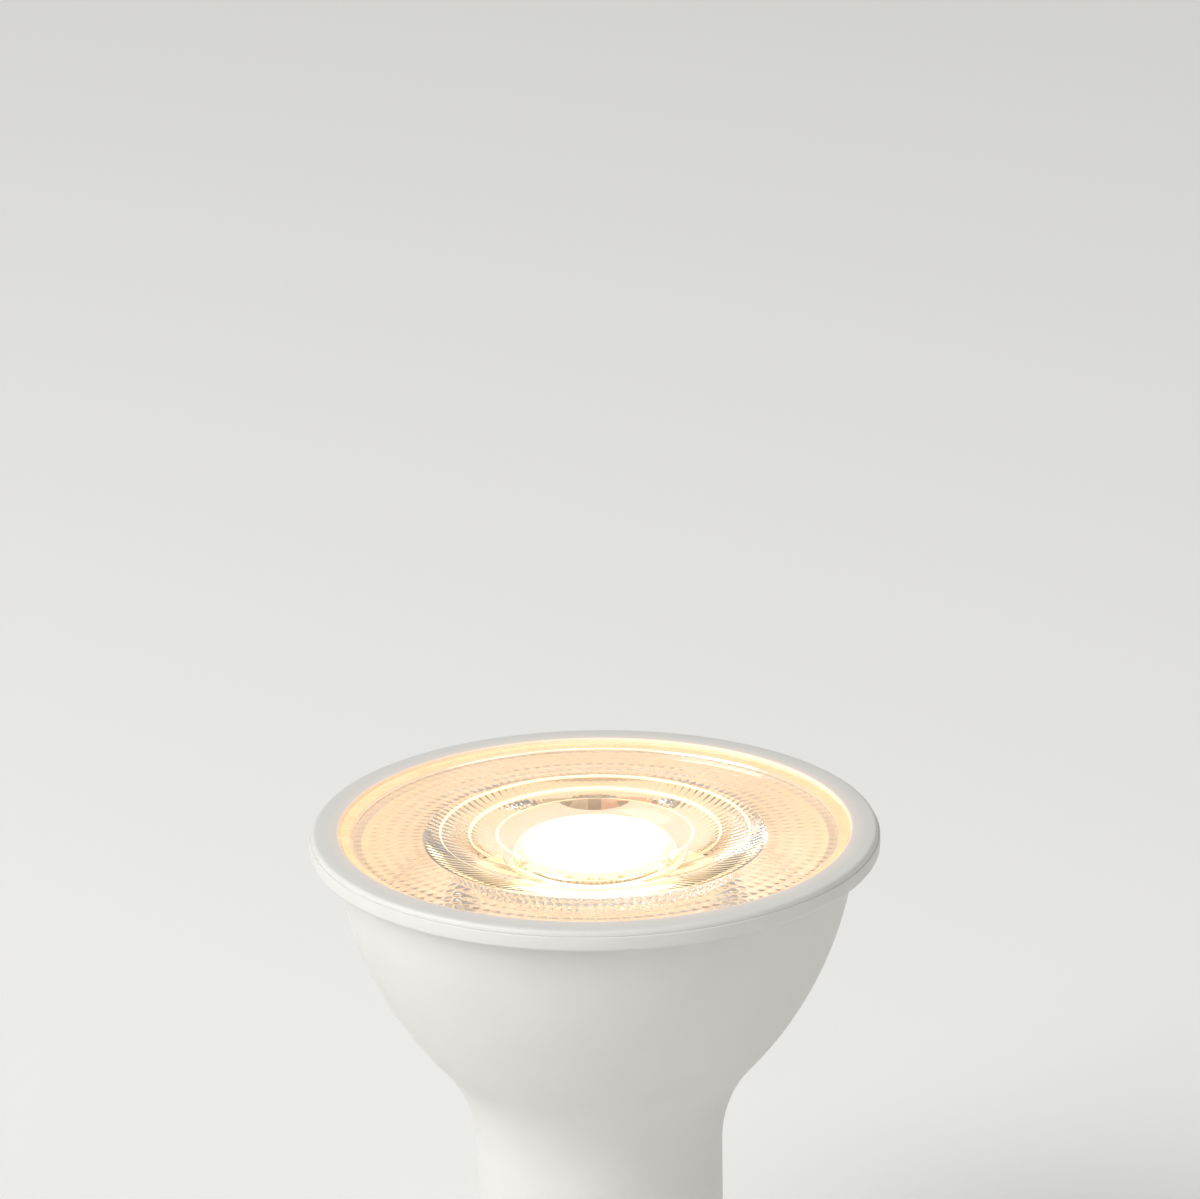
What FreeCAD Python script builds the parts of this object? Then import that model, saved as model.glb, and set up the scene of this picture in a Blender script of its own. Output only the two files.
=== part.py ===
import FreeCAD, Part
import math
import os
import types

import Sketcher

# Twist-lock spotlight bulb, 50 mm across the rim. The origin is the centre of the base's end face,
# +Z runs along the axis towards the lens, and the two contact pins lie on X and point down.

# Driving dimensions, in millimetres; a name that ends in _count is a number of copies
DIMENSIONS = {
    # Outer form of the shell
    "mouth_radius": 22.89,
    "bowl_arc": 33.84,
    "bowl_centre_rise": 1.62,
    "waist_arc": 13.12,
    "neck_radius": 10.98,
    "shell_wall": 1.5,
    "flange_wall": 1.3,
    "flange_band": 1.3,
    "flange_round": 0.3,
    # Front ring
    "ring_edge": 0.5,
    "ring_setback": 0.15,
    "ring_round": 0.42,
    "ring_lip": 0.65,
    "opening_step": 1.04,
    "spigot_wall": 0.6,
    "snap_bead": 0.12,
    "snap_width": 0.3,
    # Clearances between fixed pieces
    "fit_gap": 0.05,
    "loose_gap": 0.1,
    # Lens
    "lens_recess": 0.25,
    "lens_disc": 1.75,
    "lens_flange": 0.55,
    "lens_cover": 0.52,
    "terrace_radius": 13.5,
    "terrace_depth": 0.15,
    "dish_radius": 10.9,
    "dish_depth": 0.35,
    "dome_radius": 8.6,
    "dome_rise": 0.55,
    "facet_margin": 0.4,
    "facet_row": 1.7,
    "facet_depth": 0.3,
    "facet_width": 0.56,
    "facet_row_count": 3,
    "facet_count": 120,
    "cone_arc": 15.0,
    "cone_rise": 0.6,
    "foot_wall": 0.8,
    "cavity_gap": 0.95,
    "cavity_taper": 0.5,
    "cavity_depth": 3.5,
    "cavity_dome": 1.4,
    # Heat sink, thermal pad and LED board
    "cup_depth": 10.8,
    "cup_floor": 1.0,
    "cup_wall": 0.8,
    "cup_rim_drop": 0.2,
    "pad_thick": 0.3,
    "board_thick": 1.0,
    "board_gap": 0.3,
    "lead_hole": 2.6,
    "lead_hole_inset": 2.2,
    "screw_inset": 7.0,
    "screw_radius": 1.0,
    "screw_point": 0.4,
    "screw_head": 1.9,
    "screw_head_rise": 1.3,
    "screw_head_wall": 0.65,
    "screw_length": 2.9,
    "screw_slot": 0.5,
    # LED packages
    "led_length": 3.5,
    "led_width": 2.8,
    "led_rise": 0.75,
    "led_gap": 0.07,
    "led_count": 6,
    "led_window": 1.2,
    "led_window_depth": 0.15,
    "led_corner": 0.45,
    # Ribs inside the shell
    "cup_rib_count": 6,
    "cup_rib_thick": 1.2,
    "cup_rib_inset": 2.6,
    "cup_rib_drop": 7.2,
    "guide_grip": 0.7,
    "guide_thick": 1.1,
    # Base cap
    "cap_rise": 4.0,
    "cap_floor": 2.5,
    "cap_bevel": 1.6,
    "cap_spigot": 6.0,
    "cap_spigot_wall": 1.2,
    "catch_lift": 2.6,
    "catch_width": 4.0,
    "catch_rise": 1.6,
    "catch_reach": 0.5,
    # Contact pins
    "pin_offset": 5.0,
    "pin_length": 7.0,
    "pin_radius": 1.5,
    "pin_head": 2.5,
    "pin_head_rise": 2.2,
    "pin_chamfer": 0.4,
    "pin_collar": 2.1,
    "pin_collar_rise": 0.5,
    "pin_tail": 1.2,
    "pin_tail_rise": 2.7,
    "pin_bore_depth": 3.0,
    # Driver board
    "driver_setback": 2.0,
    "driver_thick": 1.2,
    "driver_side_gap": 0.3,
    "driver_foot_margin": 0.8,
    "driver_head_margin": 1.2,
    "driver_headroom": 3.1,
    "driver_corner": 2.0,
    "driver_edge": 0.3,
    "row_gap": 0.3,
    "lead_radius": 0.3,
    "lead_hole_radius": 0.45,
    "lead_tip": 1.0,
    # Parts on the front of the driver board
    "bulk_radius": 4.0,
    "bulk_rise": 8.6,
    "bulk_pitch": 3.5,
    "output_radius": 2.0,
    "output_rise": 6.5,
    "output_pitch": 1.5,
    "can_round": 0.5,
    "can_groove": 0.3,
    "can_groove_lift": 0.9,
    "film_width": 3.4,
    "film_length": 6.0,
    "film_rise": 5.4,
    "film_round": 0.4,
    "film_across": 5.0,
    "film_pitch": 4.4,
    "choke_radius": 2.5,
    "choke_rise": 5.8,
    "choke_hub": 1.2,
    "choke_flange": 1.0,
    "choke_across": 4.3,
    "choke_pitch": 2.5,
    "core_width": 8.0,
    "core_depth": 4.0,
    "core_yoke": 1.0,
    "core_window": 4.0,
    "core_post": 2.4,
    "core_leg": 1.0,
    "core_lift": 0.7,
    "bobbin_wall": 0.35,
    "bobbin_half_depth": 3.3,
    "bobbin_half_width": 2.85,
    "fuse_radius": 1.2,
    "fuse_rise": 5.0,
    "fuse_gap": 0.5,
    "fuse_lift": 1.0,
    "fuse_pitch": 2.4,
    "fuse_loop": 0.6,
    "fuse_round": 0.5,
    # Flat parts on the back of the driver board
    "bridge_length": 4.7,
    "bridge_width": 3.9,
    "bridge_rise": 2.3,
    "bridge_pitch": 2.54,
    "bridge_foot": 0.6,
    "chip_length": 4.9,
    "chip_width": 3.9,
    "chip_rise": 1.5,
    "chip_across": 1.9,
    "chip_pitch": 1.27,
    "chip_foot": 0.42,
    "diode_length": 2.6,
    "diode_width": 4.3,
    "diode_rise": 2.1,
    "diode_foot": 1.2,
    "package_lift": 0.1,
    "package_draft": 0.12,
    "foot_reach": 1.0,
    "foot_knee": 0.4,
    "foot_thick": 0.2,
    "resistor_length": 2.0,
    "resistor_width": 1.25,
    "resistor_rise": 0.5,
    "resistor_pitch": 2.6,
    "resistor_lift": 1.4,
    "resistor_row_count": 4,
    # Wires
    "wire_radius": 0.6,
    "wire_pad_lift": 2.0,
    "wire_bend": 1.5,
    "lead_spread": 1.05,
    "lead_low_bend": 2.8,
    "lead_top_bend": 1.5,
    "lead_end": 4.3,
    "solder_radius": 1.2,
    "solder_rise": 0.8,
}


class Size:
    """A number of the model together with the sheet expression that gives it."""

    def __init__(self, value, text):
        self.value = value
        self.text = text

    @staticmethod
    def of(number):
        if isinstance(number, Size):
            return number
        return Size(float(number), f"({float(number)!r})")

    def joined(self, other, sign, value):
        return Size(value, f"({self.text} {sign} {other.text})")

    def __add__(self, other):
        other = Size.of(other)
        return self.joined(other, "+", self.value + other.value)

    def __sub__(self, other):
        other = Size.of(other)
        return self.joined(other, "-", self.value - other.value)

    def __mul__(self, other):
        other = Size.of(other)
        return self.joined(other, "*", self.value * other.value)

    def __truediv__(self, other):
        other = Size.of(other)
        return self.joined(other, "/", self.value / other.value)

    def __neg__(self):
        return Size.of(0) - self


def root(size):
    return Size(math.sqrt(size.value), f"sqrt({size.text})")


doc = FreeCAD.newDocument("spotlight_bulb")
sheet = doc.addObject("Spreadsheet::Sheet", "Dimensions")
for row, (alias, number) in enumerate(DIMENSIONS.items(), start=1):
    sheet.set(f"A{row}", alias)
    sheet.set(f"B{row}", str(number))
    sheet.setAlias(f"B{row}", alias)
doc.recompute()
sizes = {alias: Size(float(number), f"Dimensions.{alias}") for alias, number in DIMENSIONS.items()}
d = types.SimpleNamespace(**sizes)
ZERO = Size.of(0)

# What stands on the driver board sets its height, row on row, and so the length of the shell
cap_top = d.cap_rise + d.cap_spigot
bulk_up = cap_top + d.driver_foot_margin + d.bulk_radius
fuse_up = bulk_up + d.fuse_lift
film_up = bulk_up + d.bulk_radius + d.row_gap + d.film_length / 2
transformer_up = film_up + d.film_length / 2 + d.row_gap + d.bobbin_half_depth
lead_exit_up = transformer_up + d.bobbin_half_depth + d.row_gap + d.wire_radius
driver_top = lead_exit_up + d.driver_head_margin
wire_pad_up = cap_top + d.wire_pad_lift
resistor_row_up = cap_top + d.resistor_lift + d.resistor_length / 2

# Heights from the heat sink's seat up to the rim
cup_seat = driver_top + d.driver_headroom
cup_floor_top = cup_seat + d.cup_floor
board_under = cup_floor_top + d.pad_thick
board_top = board_under + d.board_thick
rim_height = cup_seat + d.cup_depth
parting = rim_height - d.ring_edge
flange_under = parting - d.flange_band
lip_under = rim_height - d.ring_lip
lens_flange_top = lip_under - d.fit_gap
ledge = lens_flange_top - d.lens_flange
spigot_foot = ledge + d.loose_gap
snap_height = (parting + spigot_foot) / 2
lens_face = rim_height - d.lens_recess
lens_back = lens_face - d.lens_disc

# Radii from the mouth of the bowl out to the rim
mouth_inner = d.mouth_radius - d.shell_wall
opening_radius = mouth_inner + d.opening_step
lens_flange_radius = opening_radius + d.lens_cover
spigot_inner = lens_flange_radius + d.loose_gap
spigot_outer = spigot_inner + d.spigot_wall
recess_radius = spigot_outer + d.fit_gap
rim_radius = recess_radius + d.flange_wall

# The neck and the driver board that just fits in it
neck_inner = d.neck_radius - d.shell_wall
catch_foot = d.cap_rise + d.catch_lift
pin_tail_top = d.cap_floor + d.pin_tail_rise
driver_front = -d.driver_setback
driver_back = driver_front - d.driver_thick
driver_half_width = root(neck_inner * neck_inner - driver_back * driver_back) - d.driver_side_gap
fuse_across = -(d.bulk_radius + d.fuse_gap + d.fuse_radius)

# The top row stands at the board's two edges
output_across = d.driver_edge + d.output_radius - driver_half_width
transformer_across = driver_half_width - d.driver_edge - d.core_width / 2

# The bowl is an arc that passes the mouth; the waist is an arc tangent to the bowl and to the neck
bowl_centre_z = rim_height + d.bowl_centre_rise
bowl_centre_drop = bowl_centre_z - flange_under
bowl_centre_r = d.mouth_radius - root(d.bowl_arc * d.bowl_arc - bowl_centre_drop * bowl_centre_drop)
waist_centre_r = d.neck_radius + d.waist_arc
arcs_sum = d.bowl_arc + d.waist_arc
centres_run = waist_centre_r - bowl_centre_r
centres_drop = root(arcs_sum * arcs_sum - centres_run * centres_run)
waist_centre_z = bowl_centre_z - centres_drop


def bowl_radius(height, inset):
    """Radius at a height of the surface that lies inset inside the bowl."""
    arc = d.bowl_arc - inset
    drop = bowl_centre_z - height
    return bowl_centre_r + root(arc * arc - drop * drop)


def bowl_foot(inset):
    """Point where the surface inset inside the bowl meets the one inside the waist."""
    share = (d.bowl_arc - inset) / arcs_sum
    return bowl_centre_r + centres_run * share, bowl_centre_z - centres_drop * share


# The heat sink lies just inside the bowl, and the LED board just inside the heat sink
sink_outer_inset = d.shell_wall + d.loose_gap
sink_inner_inset = sink_outer_inset + d.cup_wall
board_radius = bowl_radius(cup_floor_top, sink_inner_inset) - d.board_gap
screw_offset = board_radius - d.screw_inset
lead_hole_offset = board_radius - d.lead_hole - d.lead_hole_inset

# The LEDs of the ring stand corner to corner, and the collimator's foot clears them
ring_share = 1 / math.tan(math.pi / int(d.led_count.value))
led_circle = d.led_width / 2 + d.led_length / 2 * ring_share + d.led_gap
led_reach_out = led_circle + d.led_width / 2
led_reach = root(led_reach_out * led_reach_out + d.led_length * d.led_length / 4)


def vector(across, up, deep=0.0):
    return FreeCAD.Vector(Size.of(across).value, Size.of(up).value, Size.of(deep).value)


def new_body(label):
    body = doc.addObject("PartDesign::Body", label)
    body.Label = label
    return body


def origin_part(body, role):
    return next(part for part in body.Origin.OriginFeatures if part.Role == role)


def new_sketch(body, name, plane, offset=None):
    sketch = body.newObject("Sketcher::SketchObject", f"{body.Name}_{name}")
    sketch.AttachmentSupport = [(origin_part(body, plane), "")]
    sketch.MapMode = "FlatFace"
    if offset is not None:
        sketch.setExpression("AttachmentOffset.Base.z", offset.text)
    return sketch


def bind(sketch, datums):
    """Adds each (constraint, size) and ties it to the size's expression."""
    for constraint, size in datums:
        index = sketch.addConstraint(constraint)
        sketch.setExpression(f"Constraints[{index}]", size.text)


def arc_centre(start, end, radius, turn):
    chord = end - start
    half = chord.Length / 2
    away = math.sqrt(max(radius * radius - half * half, 0.0))
    side = FreeCAD.Vector(-chord.y, chord.x, 0).normalize()
    return (start + end) / 2 + side * away * turn


def draw_outline(sketch, corners):
    """Closed outline. A corner is (across, up); an arc that arrives there adds its radius and a turn,
    1 where it runs anticlockwise and -1 where it runs clockwise."""
    first = sketch.GeometryCount
    edges = []
    ends = []
    datums = []
    for index, corner in enumerate(corners):
        start = vector(*corners[index - 1][:2])
        end = vector(*corner[:2])
        if len(corner) == 2:
            edges.append(Part.LineSegment(start, end))
            ends.append((1, 2))
            continue
        radius, turn = corner[2:]
        centre = arc_centre(start, end, radius.value, turn)
        circle = Part.Circle(centre, FreeCAD.Vector(0, 0, 1), radius.value)
        tips = (start, end) if turn > 0 else (end, start)
        angles = [math.atan2(tip.y - centre.y, tip.x - centre.x) for tip in tips]
        edges.append(Part.ArcOfCircle(circle, *angles))
        ends.append((1, 2) if turn > 0 else (2, 1))
        datums.append((Sketcher.Constraint("Radius", first + index, radius.value), radius))
    sketch.addGeometry(edges, False)
    joins = []
    for index, end in enumerate(ends):
        following = (index + 1) % len(ends)
        pair = (first + index, end[1], first + following, ends[following][0])
        joins.append(Sketcher.Constraint("Coincident", *pair))
    sketch.addConstraint(joins)
    for index, corner in enumerate(corners):
        for axis, size in zip(("DistanceX", "DistanceY"), map(Size.of, corner[:2])):
            datum = Sketcher.Constraint(axis, -1, 1, first + index, ends[index][1], size.value)
            datums.append((datum, size))
    bind(sketch, datums)


def draw_circle(sketch, across, up, radius):
    index = sketch.addGeometry(Part.Circle(vector(across, up), FreeCAD.Vector(0, 0, 1), radius.value), False)
    places = [("DistanceX", Size.of(across)), ("DistanceY", Size.of(up))]
    datums = [(Sketcher.Constraint(axis, -1, 1, index, 3, size.value), size) for axis, size in places]
    datums.append((Sketcher.Constraint("Radius", index, radius.value), radius))
    bind(sketch, datums)


def rectangle(left, bottom, right, top):
    return [(left, bottom), (right, bottom), (right, top), (left, top)]


def turned(body, name, corners):
    """Full turn of an outline (radius, height) about the body's own Z axis."""
    sketch = new_sketch(body, f"{name}_outline", "XZ_Plane")
    draw_outline(sketch, corners)
    feature = body.newObject("PartDesign::Revolution", f"{body.Name}_{name}")
    feature.Profile = sketch
    feature.ReferenceAxis = (sketch, ["V_Axis"])
    feature.Angle = 360
    body.Tip = feature
    return feature


def extruded(body, sketch, length, kind="Pad", middle=False, backwards=False):
    """Pad or pocket of a sketch; a wrong way round shows in the volume."""
    doc.recompute()
    before = body.Shape.Volume if body.Tip else 0.0
    feature = body.newObject(f"PartDesign::{kind}", f"{sketch.Name}_{kind.lower()}")
    feature.Profile = sketch
    feature.setExpression("Length", length.text)
    feature.Midplane = middle
    feature.Reversed = backwards
    body.Tip = feature
    doc.recompute()
    gained = body.Shape.Volume - before
    if (gained > 0) != (kind == "Pad"):
        raise RuntimeError(f"{feature.Name} changes the volume by {gained}")
    return feature


def patterned(body, feature, count):
    """Copies of a feature all round the body's Z axis."""
    pattern = body.newObject("PartDesign::PolarPattern", f"{feature.Name}_round")
    pattern.Originals = [feature]
    pattern.Axis = (origin_part(body, "Z_Axis"), [""])
    pattern.Angle = 360
    pattern.setExpression("Occurrences", count.text)
    body.Tip = pattern
    return pattern


def in_row(body, feature, pitch, count):
    """Copies of a feature along the body's X axis."""
    pattern = body.newObject("PartDesign::LinearPattern", f"{feature.Name}_row")
    pattern.Originals = [feature]
    pattern.Direction = (origin_part(body, "X_Axis"), [""])
    pattern.setExpression("Length", (pitch * (count - 1)).text)
    pattern.Occurrences = count
    body.Tip = pattern
    return pattern


def place(item, across=ZERO, deep=ZERO, up=ZERO, turn=None):
    """Placement of an item: its turn is fixed, and its place follows the sheet."""
    if turn is not None:
        item.Placement = FreeCAD.Placement(FreeCAD.Vector(), turn)
    for axis, size in zip("xyz", (across, deep, up)):
        item.setExpression(f"Placement.Base.{axis}", size.text)


def on_front(item, across, up):
    """Stands an item's +Z out of the front of the driver board."""
    place(item, across, driver_front, up, FreeCAD.Rotation(FreeCAD.Vector(1, 0, 0), -90))
    return item


def on_back(item, across, up):
    """Stands an item's +Z out of the back of the driver board."""
    place(item, across, driver_back, up, FreeCAD.Rotation(FreeCAD.Vector(1, 0, 0), 90))
    return item


def shape_part(label, shape):
    feature = doc.addObject("Part::Feature", label)
    feature.Label = label
    feature.Shape = shape
    return feature


def tube(points, bends, radius):
    """Round wire along straight runs joined by tangent arcs; its volume is compared with its length."""
    edges = []
    start = points[0]
    for before, corner, after, bend in zip(points, points[1:], points[2:], bends):
        back = (before - corner).normalize()
        ahead = (after - corner).normalize()
        half_turn = (math.pi - back.getAngle(ahead)) / 2
        reach = bend * math.tan(half_turn)
        middle = (back + ahead).normalize()
        bulge = corner + middle * (bend / math.cos(half_turn) - bend)
        edges.append(Part.LineSegment(start, corner + back * reach).toShape())
        edges.append(Part.Arc(corner + back * reach, bulge, corner + ahead * reach).toShape())
        start = corner + ahead * reach
    edges.append(Part.LineSegment(start, points[-1]).toShape())
    path = Part.Wire(edges)
    section = Part.Wire([Part.makeCircle(radius, points[0], points[1] - points[0])])
    solid = path.makePipeShell([section], True, False)
    expected = math.pi * radius * radius * path.Length
    if abs(solid.Volume - expected) > 0.01 * expected:
        raise RuntimeError(f"A wire holds {solid.Volume:.2f}, not {expected:.2f} mm3")
    return solid


# Housing: one moulding with flange, bowl and neck
def make_housing():
    body = new_body("housing")
    foot_outer = bowl_foot(ZERO)
    foot_inner = bowl_foot(d.shell_wall)
    turned(body, "shell", [
        (neck_inner, d.cap_rise),
        (d.neck_radius, d.cap_rise),
        (d.neck_radius, waist_centre_z),
        (*foot_outer, d.waist_arc, -1),
        (d.mouth_radius, flange_under, d.bowl_arc, 1),
        (rim_radius - d.flange_round, flange_under),
        (rim_radius, flange_under + d.flange_round, d.flange_round, 1),
        (rim_radius, parting - d.loose_gap),
        (rim_radius - d.loose_gap, parting),
        (recess_radius, parting),
        (recess_radius, snap_height + d.snap_width / 2),
        (recess_radius + d.snap_bead, snap_height),
        (recess_radius, snap_height - d.snap_width / 2),
        (recess_radius, ledge),
        (mouth_inner, ledge),
        (mouth_inner, flange_under),
        (*foot_inner, d.bowl_arc - d.shell_wall, -1),
        (neck_inner, waist_centre_z, d.waist_arc + d.shell_wall, 1),
    ])

    # Ribs that carry the heat sink, rooted in the middle of the bowl's wall
    rib_foot = cup_seat - d.cup_rib_drop
    rib_middle = (rib_foot + cup_seat) / 2
    rib_inner = screw_offset + d.cup_rib_inset
    mid_wall = d.shell_wall / 2
    ribs = new_sketch(body, "cup_rib", "XZ_Plane")
    draw_outline(ribs, [
        (rib_inner, rib_foot),
        (bowl_radius(rib_foot, mid_wall), rib_foot),
        (bowl_radius(rib_middle, mid_wall), rib_middle),
        (bowl_radius(cup_seat, mid_wall), cup_seat),
        (rib_inner, cup_seat),
    ])
    rib = extruded(body, ribs, d.cup_rib_thick, middle=True)
    patterned(body, rib, d.cup_rib_count)

    # Guides that grip the driver board's edges
    guides = new_sketch(body, "guides", "XY_Plane", cap_top + d.loose_gap)
    upper = driver_front + d.fit_gap
    lower = driver_back - d.fit_gap
    grip_reach = driver_half_width - d.guide_grip
    root_reach = neck_inner + d.loose_gap
    for side in (1, -1):
        for near, far in ((upper, upper + d.guide_thick), (lower, lower - d.guide_thick)):
            low, high = (near, far) if near.value < far.value else (far, near)
            left, right = sorted((grip_reach * side, root_reach * side), key=lambda size: size.value)
            draw_outline(guides, rectangle(left, low, right, high))
    extruded(body, guides, waist_centre_z - cap_top)

    # Blind pockets for the base cap's catches
    pocket_half = d.catch_width / 2 + d.loose_gap
    pocket_mouth = neck_inner - d.cap_spigot_wall
    pocket_floor = neck_inner + d.catch_reach + d.loose_gap
    for name, side in (("front", -1), ("back", 1)):
        pocket = new_sketch(body, f"{name}_pocket", "XY_Plane", catch_foot - d.loose_gap)
        near, far = sorted((pocket_mouth * side, pocket_floor * side), key=lambda size: size.value)
        draw_outline(pocket, rectangle(-pocket_half, near, pocket_half, far))
        extruded(body, pocket, d.catch_rise + d.loose_gap * 2, kind="Pocket", backwards=True)
    return body


# Front ring: its lip holds the lens down, and a bead round its spigot snaps into the flange
def make_front_ring():
    body = new_body("front_ring")
    edge = rim_radius - d.ring_setback
    turned(body, "section", [
        (opening_radius, lip_under),
        (spigot_inner, lip_under),
        (spigot_inner, spigot_foot),
        (spigot_outer, spigot_foot),
        (spigot_outer, snap_height - d.snap_width / 2),
        (spigot_outer + d.snap_bead, snap_height),
        (spigot_outer, snap_height + d.snap_width / 2),
        (spigot_outer, parting),
        (edge, parting),
        (edge, rim_height - d.ring_round),
        (edge - d.ring_round, rim_height, d.ring_round, 1),
        (opening_radius + d.loose_gap, rim_height),
        (opening_radius, rim_height - d.loose_gap),
    ])
    return body


# Lens: disc with rows of facets, and a collimator over the LEDs, in one moulding
lens_plug = mouth_inner - d.loose_gap
facet_outer = lens_plug - d.facet_margin


def facet_rows():
    """Underside of the disc from the outer row inwards, with a V between rows."""
    half = d.facet_width / 2
    corners = []
    for row in range(int(d.facet_row_count.value) + 1):
        middle = facet_outer - d.facet_row * row
        corners.append((middle + half, lens_back))
        corners.append((middle, lens_back + d.facet_depth))
        corners.append((middle - half, lens_back))
    return corners


def make_lens():
    body = new_body("lens")
    cone_foot_z = board_top + d.cone_rise
    cavity_foot = led_reach + d.cavity_gap
    cone_foot = cavity_foot + d.foot_wall
    facet_inner = facet_outer - d.facet_row * d.facet_row_count
    cone_mouth = facet_inner - d.facet_width
    cavity_top = cavity_foot - d.cavity_taper
    cavity_arc = (cavity_top * cavity_top + d.cavity_dome * d.cavity_dome) / (d.cavity_dome * 2)
    dome_arc = (d.dome_radius * d.dome_radius + d.dome_rise * d.dome_rise) / (d.dome_rise * 2)
    terrace_floor = lens_face - d.terrace_depth
    dish_floor = lens_face - d.dish_depth
    dish_step = d.dish_depth - d.terrace_depth
    turned(body, "section", [
        (ZERO, cone_foot_z + d.cavity_depth - d.cavity_dome),
        (cavity_top, cone_foot_z + d.cavity_depth, cavity_arc, 1),
        (cavity_foot, cone_foot_z),
        (cone_foot, cone_foot_z),
        (cone_mouth, lens_back, d.cone_arc, 1),
        *reversed(facet_rows()),
        (lens_plug, lens_back),
        (lens_plug, ledge),
        (lens_flange_radius, ledge),
        (lens_flange_radius, lens_flange_top),
        (opening_radius - d.loose_gap, lens_flange_top),
        (opening_radius - d.loose_gap, lens_face),
        (d.terrace_radius + d.terrace_depth, lens_face),
        (d.terrace_radius, terrace_floor, d.terrace_depth, 1),
        (d.dish_radius + dish_step, terrace_floor),
        (d.dish_radius, dish_floor, dish_step, 1),
        (d.dome_radius, dish_floor),
        (ZERO, dish_floor + d.dome_rise, dome_arc, 1),
    ])

    # Radial grooves that part the rows into small pillows
    groove = new_sketch(body, "groove", "YZ_Plane", facet_outer)
    half = d.facet_width / 2
    draw_outline(groove, [
        (-half, lens_back - d.facet_depth / 2),
        (half, lens_back - d.facet_depth / 2),
        (ZERO, lens_back + d.facet_depth),
    ])
    groove_cut = extruded(body, groove, facet_outer - facet_inner, kind="Pocket")
    patterned(body, groove_cut, d.facet_count)
    return body


# Heat sink: a drawn aluminium cup that stands on the housing's ribs
def make_heat_sink():
    body = new_body("heat_sink")
    rim = lens_back - d.cup_rim_drop
    turned(body, "cup", [
        (ZERO, cup_seat),
        (bowl_radius(cup_seat, sink_outer_inset), cup_seat),
        (bowl_radius(rim, sink_outer_inset), rim, d.bowl_arc - sink_outer_inset, 1),
        (bowl_radius(rim, sink_inner_inset), rim),
        (bowl_radius(cup_floor_top, sink_inner_inset), cup_floor_top, d.bowl_arc - sink_inner_inset, -1),
        (ZERO, cup_floor_top),
    ])
    holes = new_sketch(body, "holes", "XY_Plane", cup_floor_top)
    draw_circle(holes, ZERO, lead_hole_offset, d.lead_hole)
    for side in (1, -1):
        draw_circle(holes, screw_offset * side, ZERO, d.screw_radius + d.fit_gap)
    extruded(body, holes, d.cup_floor, kind="Pocket")
    return body


def make_disc(label, foot, thick):
    """Round plate on the heat sink's floor, pierced for the screws and the leads."""
    body = new_body(label)
    sketch = new_sketch(body, "face", "XY_Plane", foot)
    draw_circle(sketch, ZERO, ZERO, board_radius)
    draw_circle(sketch, ZERO, lead_hole_offset, d.lead_hole)
    for side in (1, -1):
        draw_circle(sketch, screw_offset * side, ZERO, d.screw_radius + d.loose_gap)
    extruded(body, sketch, thick)
    return body


def make_board_screw(label, side):
    """Pan-head screw through the LED board, with a driving slot."""
    body = new_body(label)
    head_round = d.screw_head_rise - d.screw_head_wall
    turned(body, "blank", [
        (ZERO, -d.screw_length),
        (d.screw_radius - d.screw_point, -d.screw_length),
        (d.screw_radius, -d.screw_length + d.screw_point),
        (d.screw_radius, ZERO),
        (d.screw_head, ZERO),
        (d.screw_head, d.screw_head_wall),
        (d.screw_head - head_round, d.screw_head_rise, head_round, 1),
        (ZERO, d.screw_head_rise),
    ])
    slot = new_sketch(body, "slot", "XY_Plane", d.screw_head_rise)
    half = d.screw_slot / 2
    draw_outline(slot, rectangle(-d.screw_head, -half, d.screw_head, half))
    extruded(body, slot, d.screw_slot, kind="Pocket")
    place(body, screw_offset * side, ZERO, board_top)
    return body


# LED packages: one in the middle and a ring round it
def make_led(label, across, deep, angle):
    body = new_body(label)
    half_length = d.led_length / 2
    half_width = d.led_width / 2
    base = new_sketch(body, "base", "XY_Plane")
    draw_outline(base, [
        (-half_width, -half_length),
        (half_width, -half_length),
        (half_width, half_length - d.led_corner),
        (half_width - d.led_corner, half_length),
        (-half_width, half_length),
    ])
    extruded(body, base, d.led_rise)
    window = new_sketch(body, "window", "XY_Plane", d.led_rise)
    draw_circle(window, ZERO, ZERO, d.led_window)
    extruded(body, window, d.led_window_depth, kind="Pocket")
    place(body, across, deep, board_top, FreeCAD.Rotation(FreeCAD.Vector(0, 0, 1), angle))
    return body


def make_leds():
    leds = [make_led("led_package_1", ZERO, ZERO, 90)]
    ring = int(d.led_count.value)
    for index in range(ring):
        turn = 360 * index / ring
        across = led_circle * math.cos(math.radians(turn))
        deep = led_circle * math.sin(math.radians(turn))
        leds.append(make_led(f"led_package_{index + 2}", across, deep, turn))
    return leds


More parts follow.
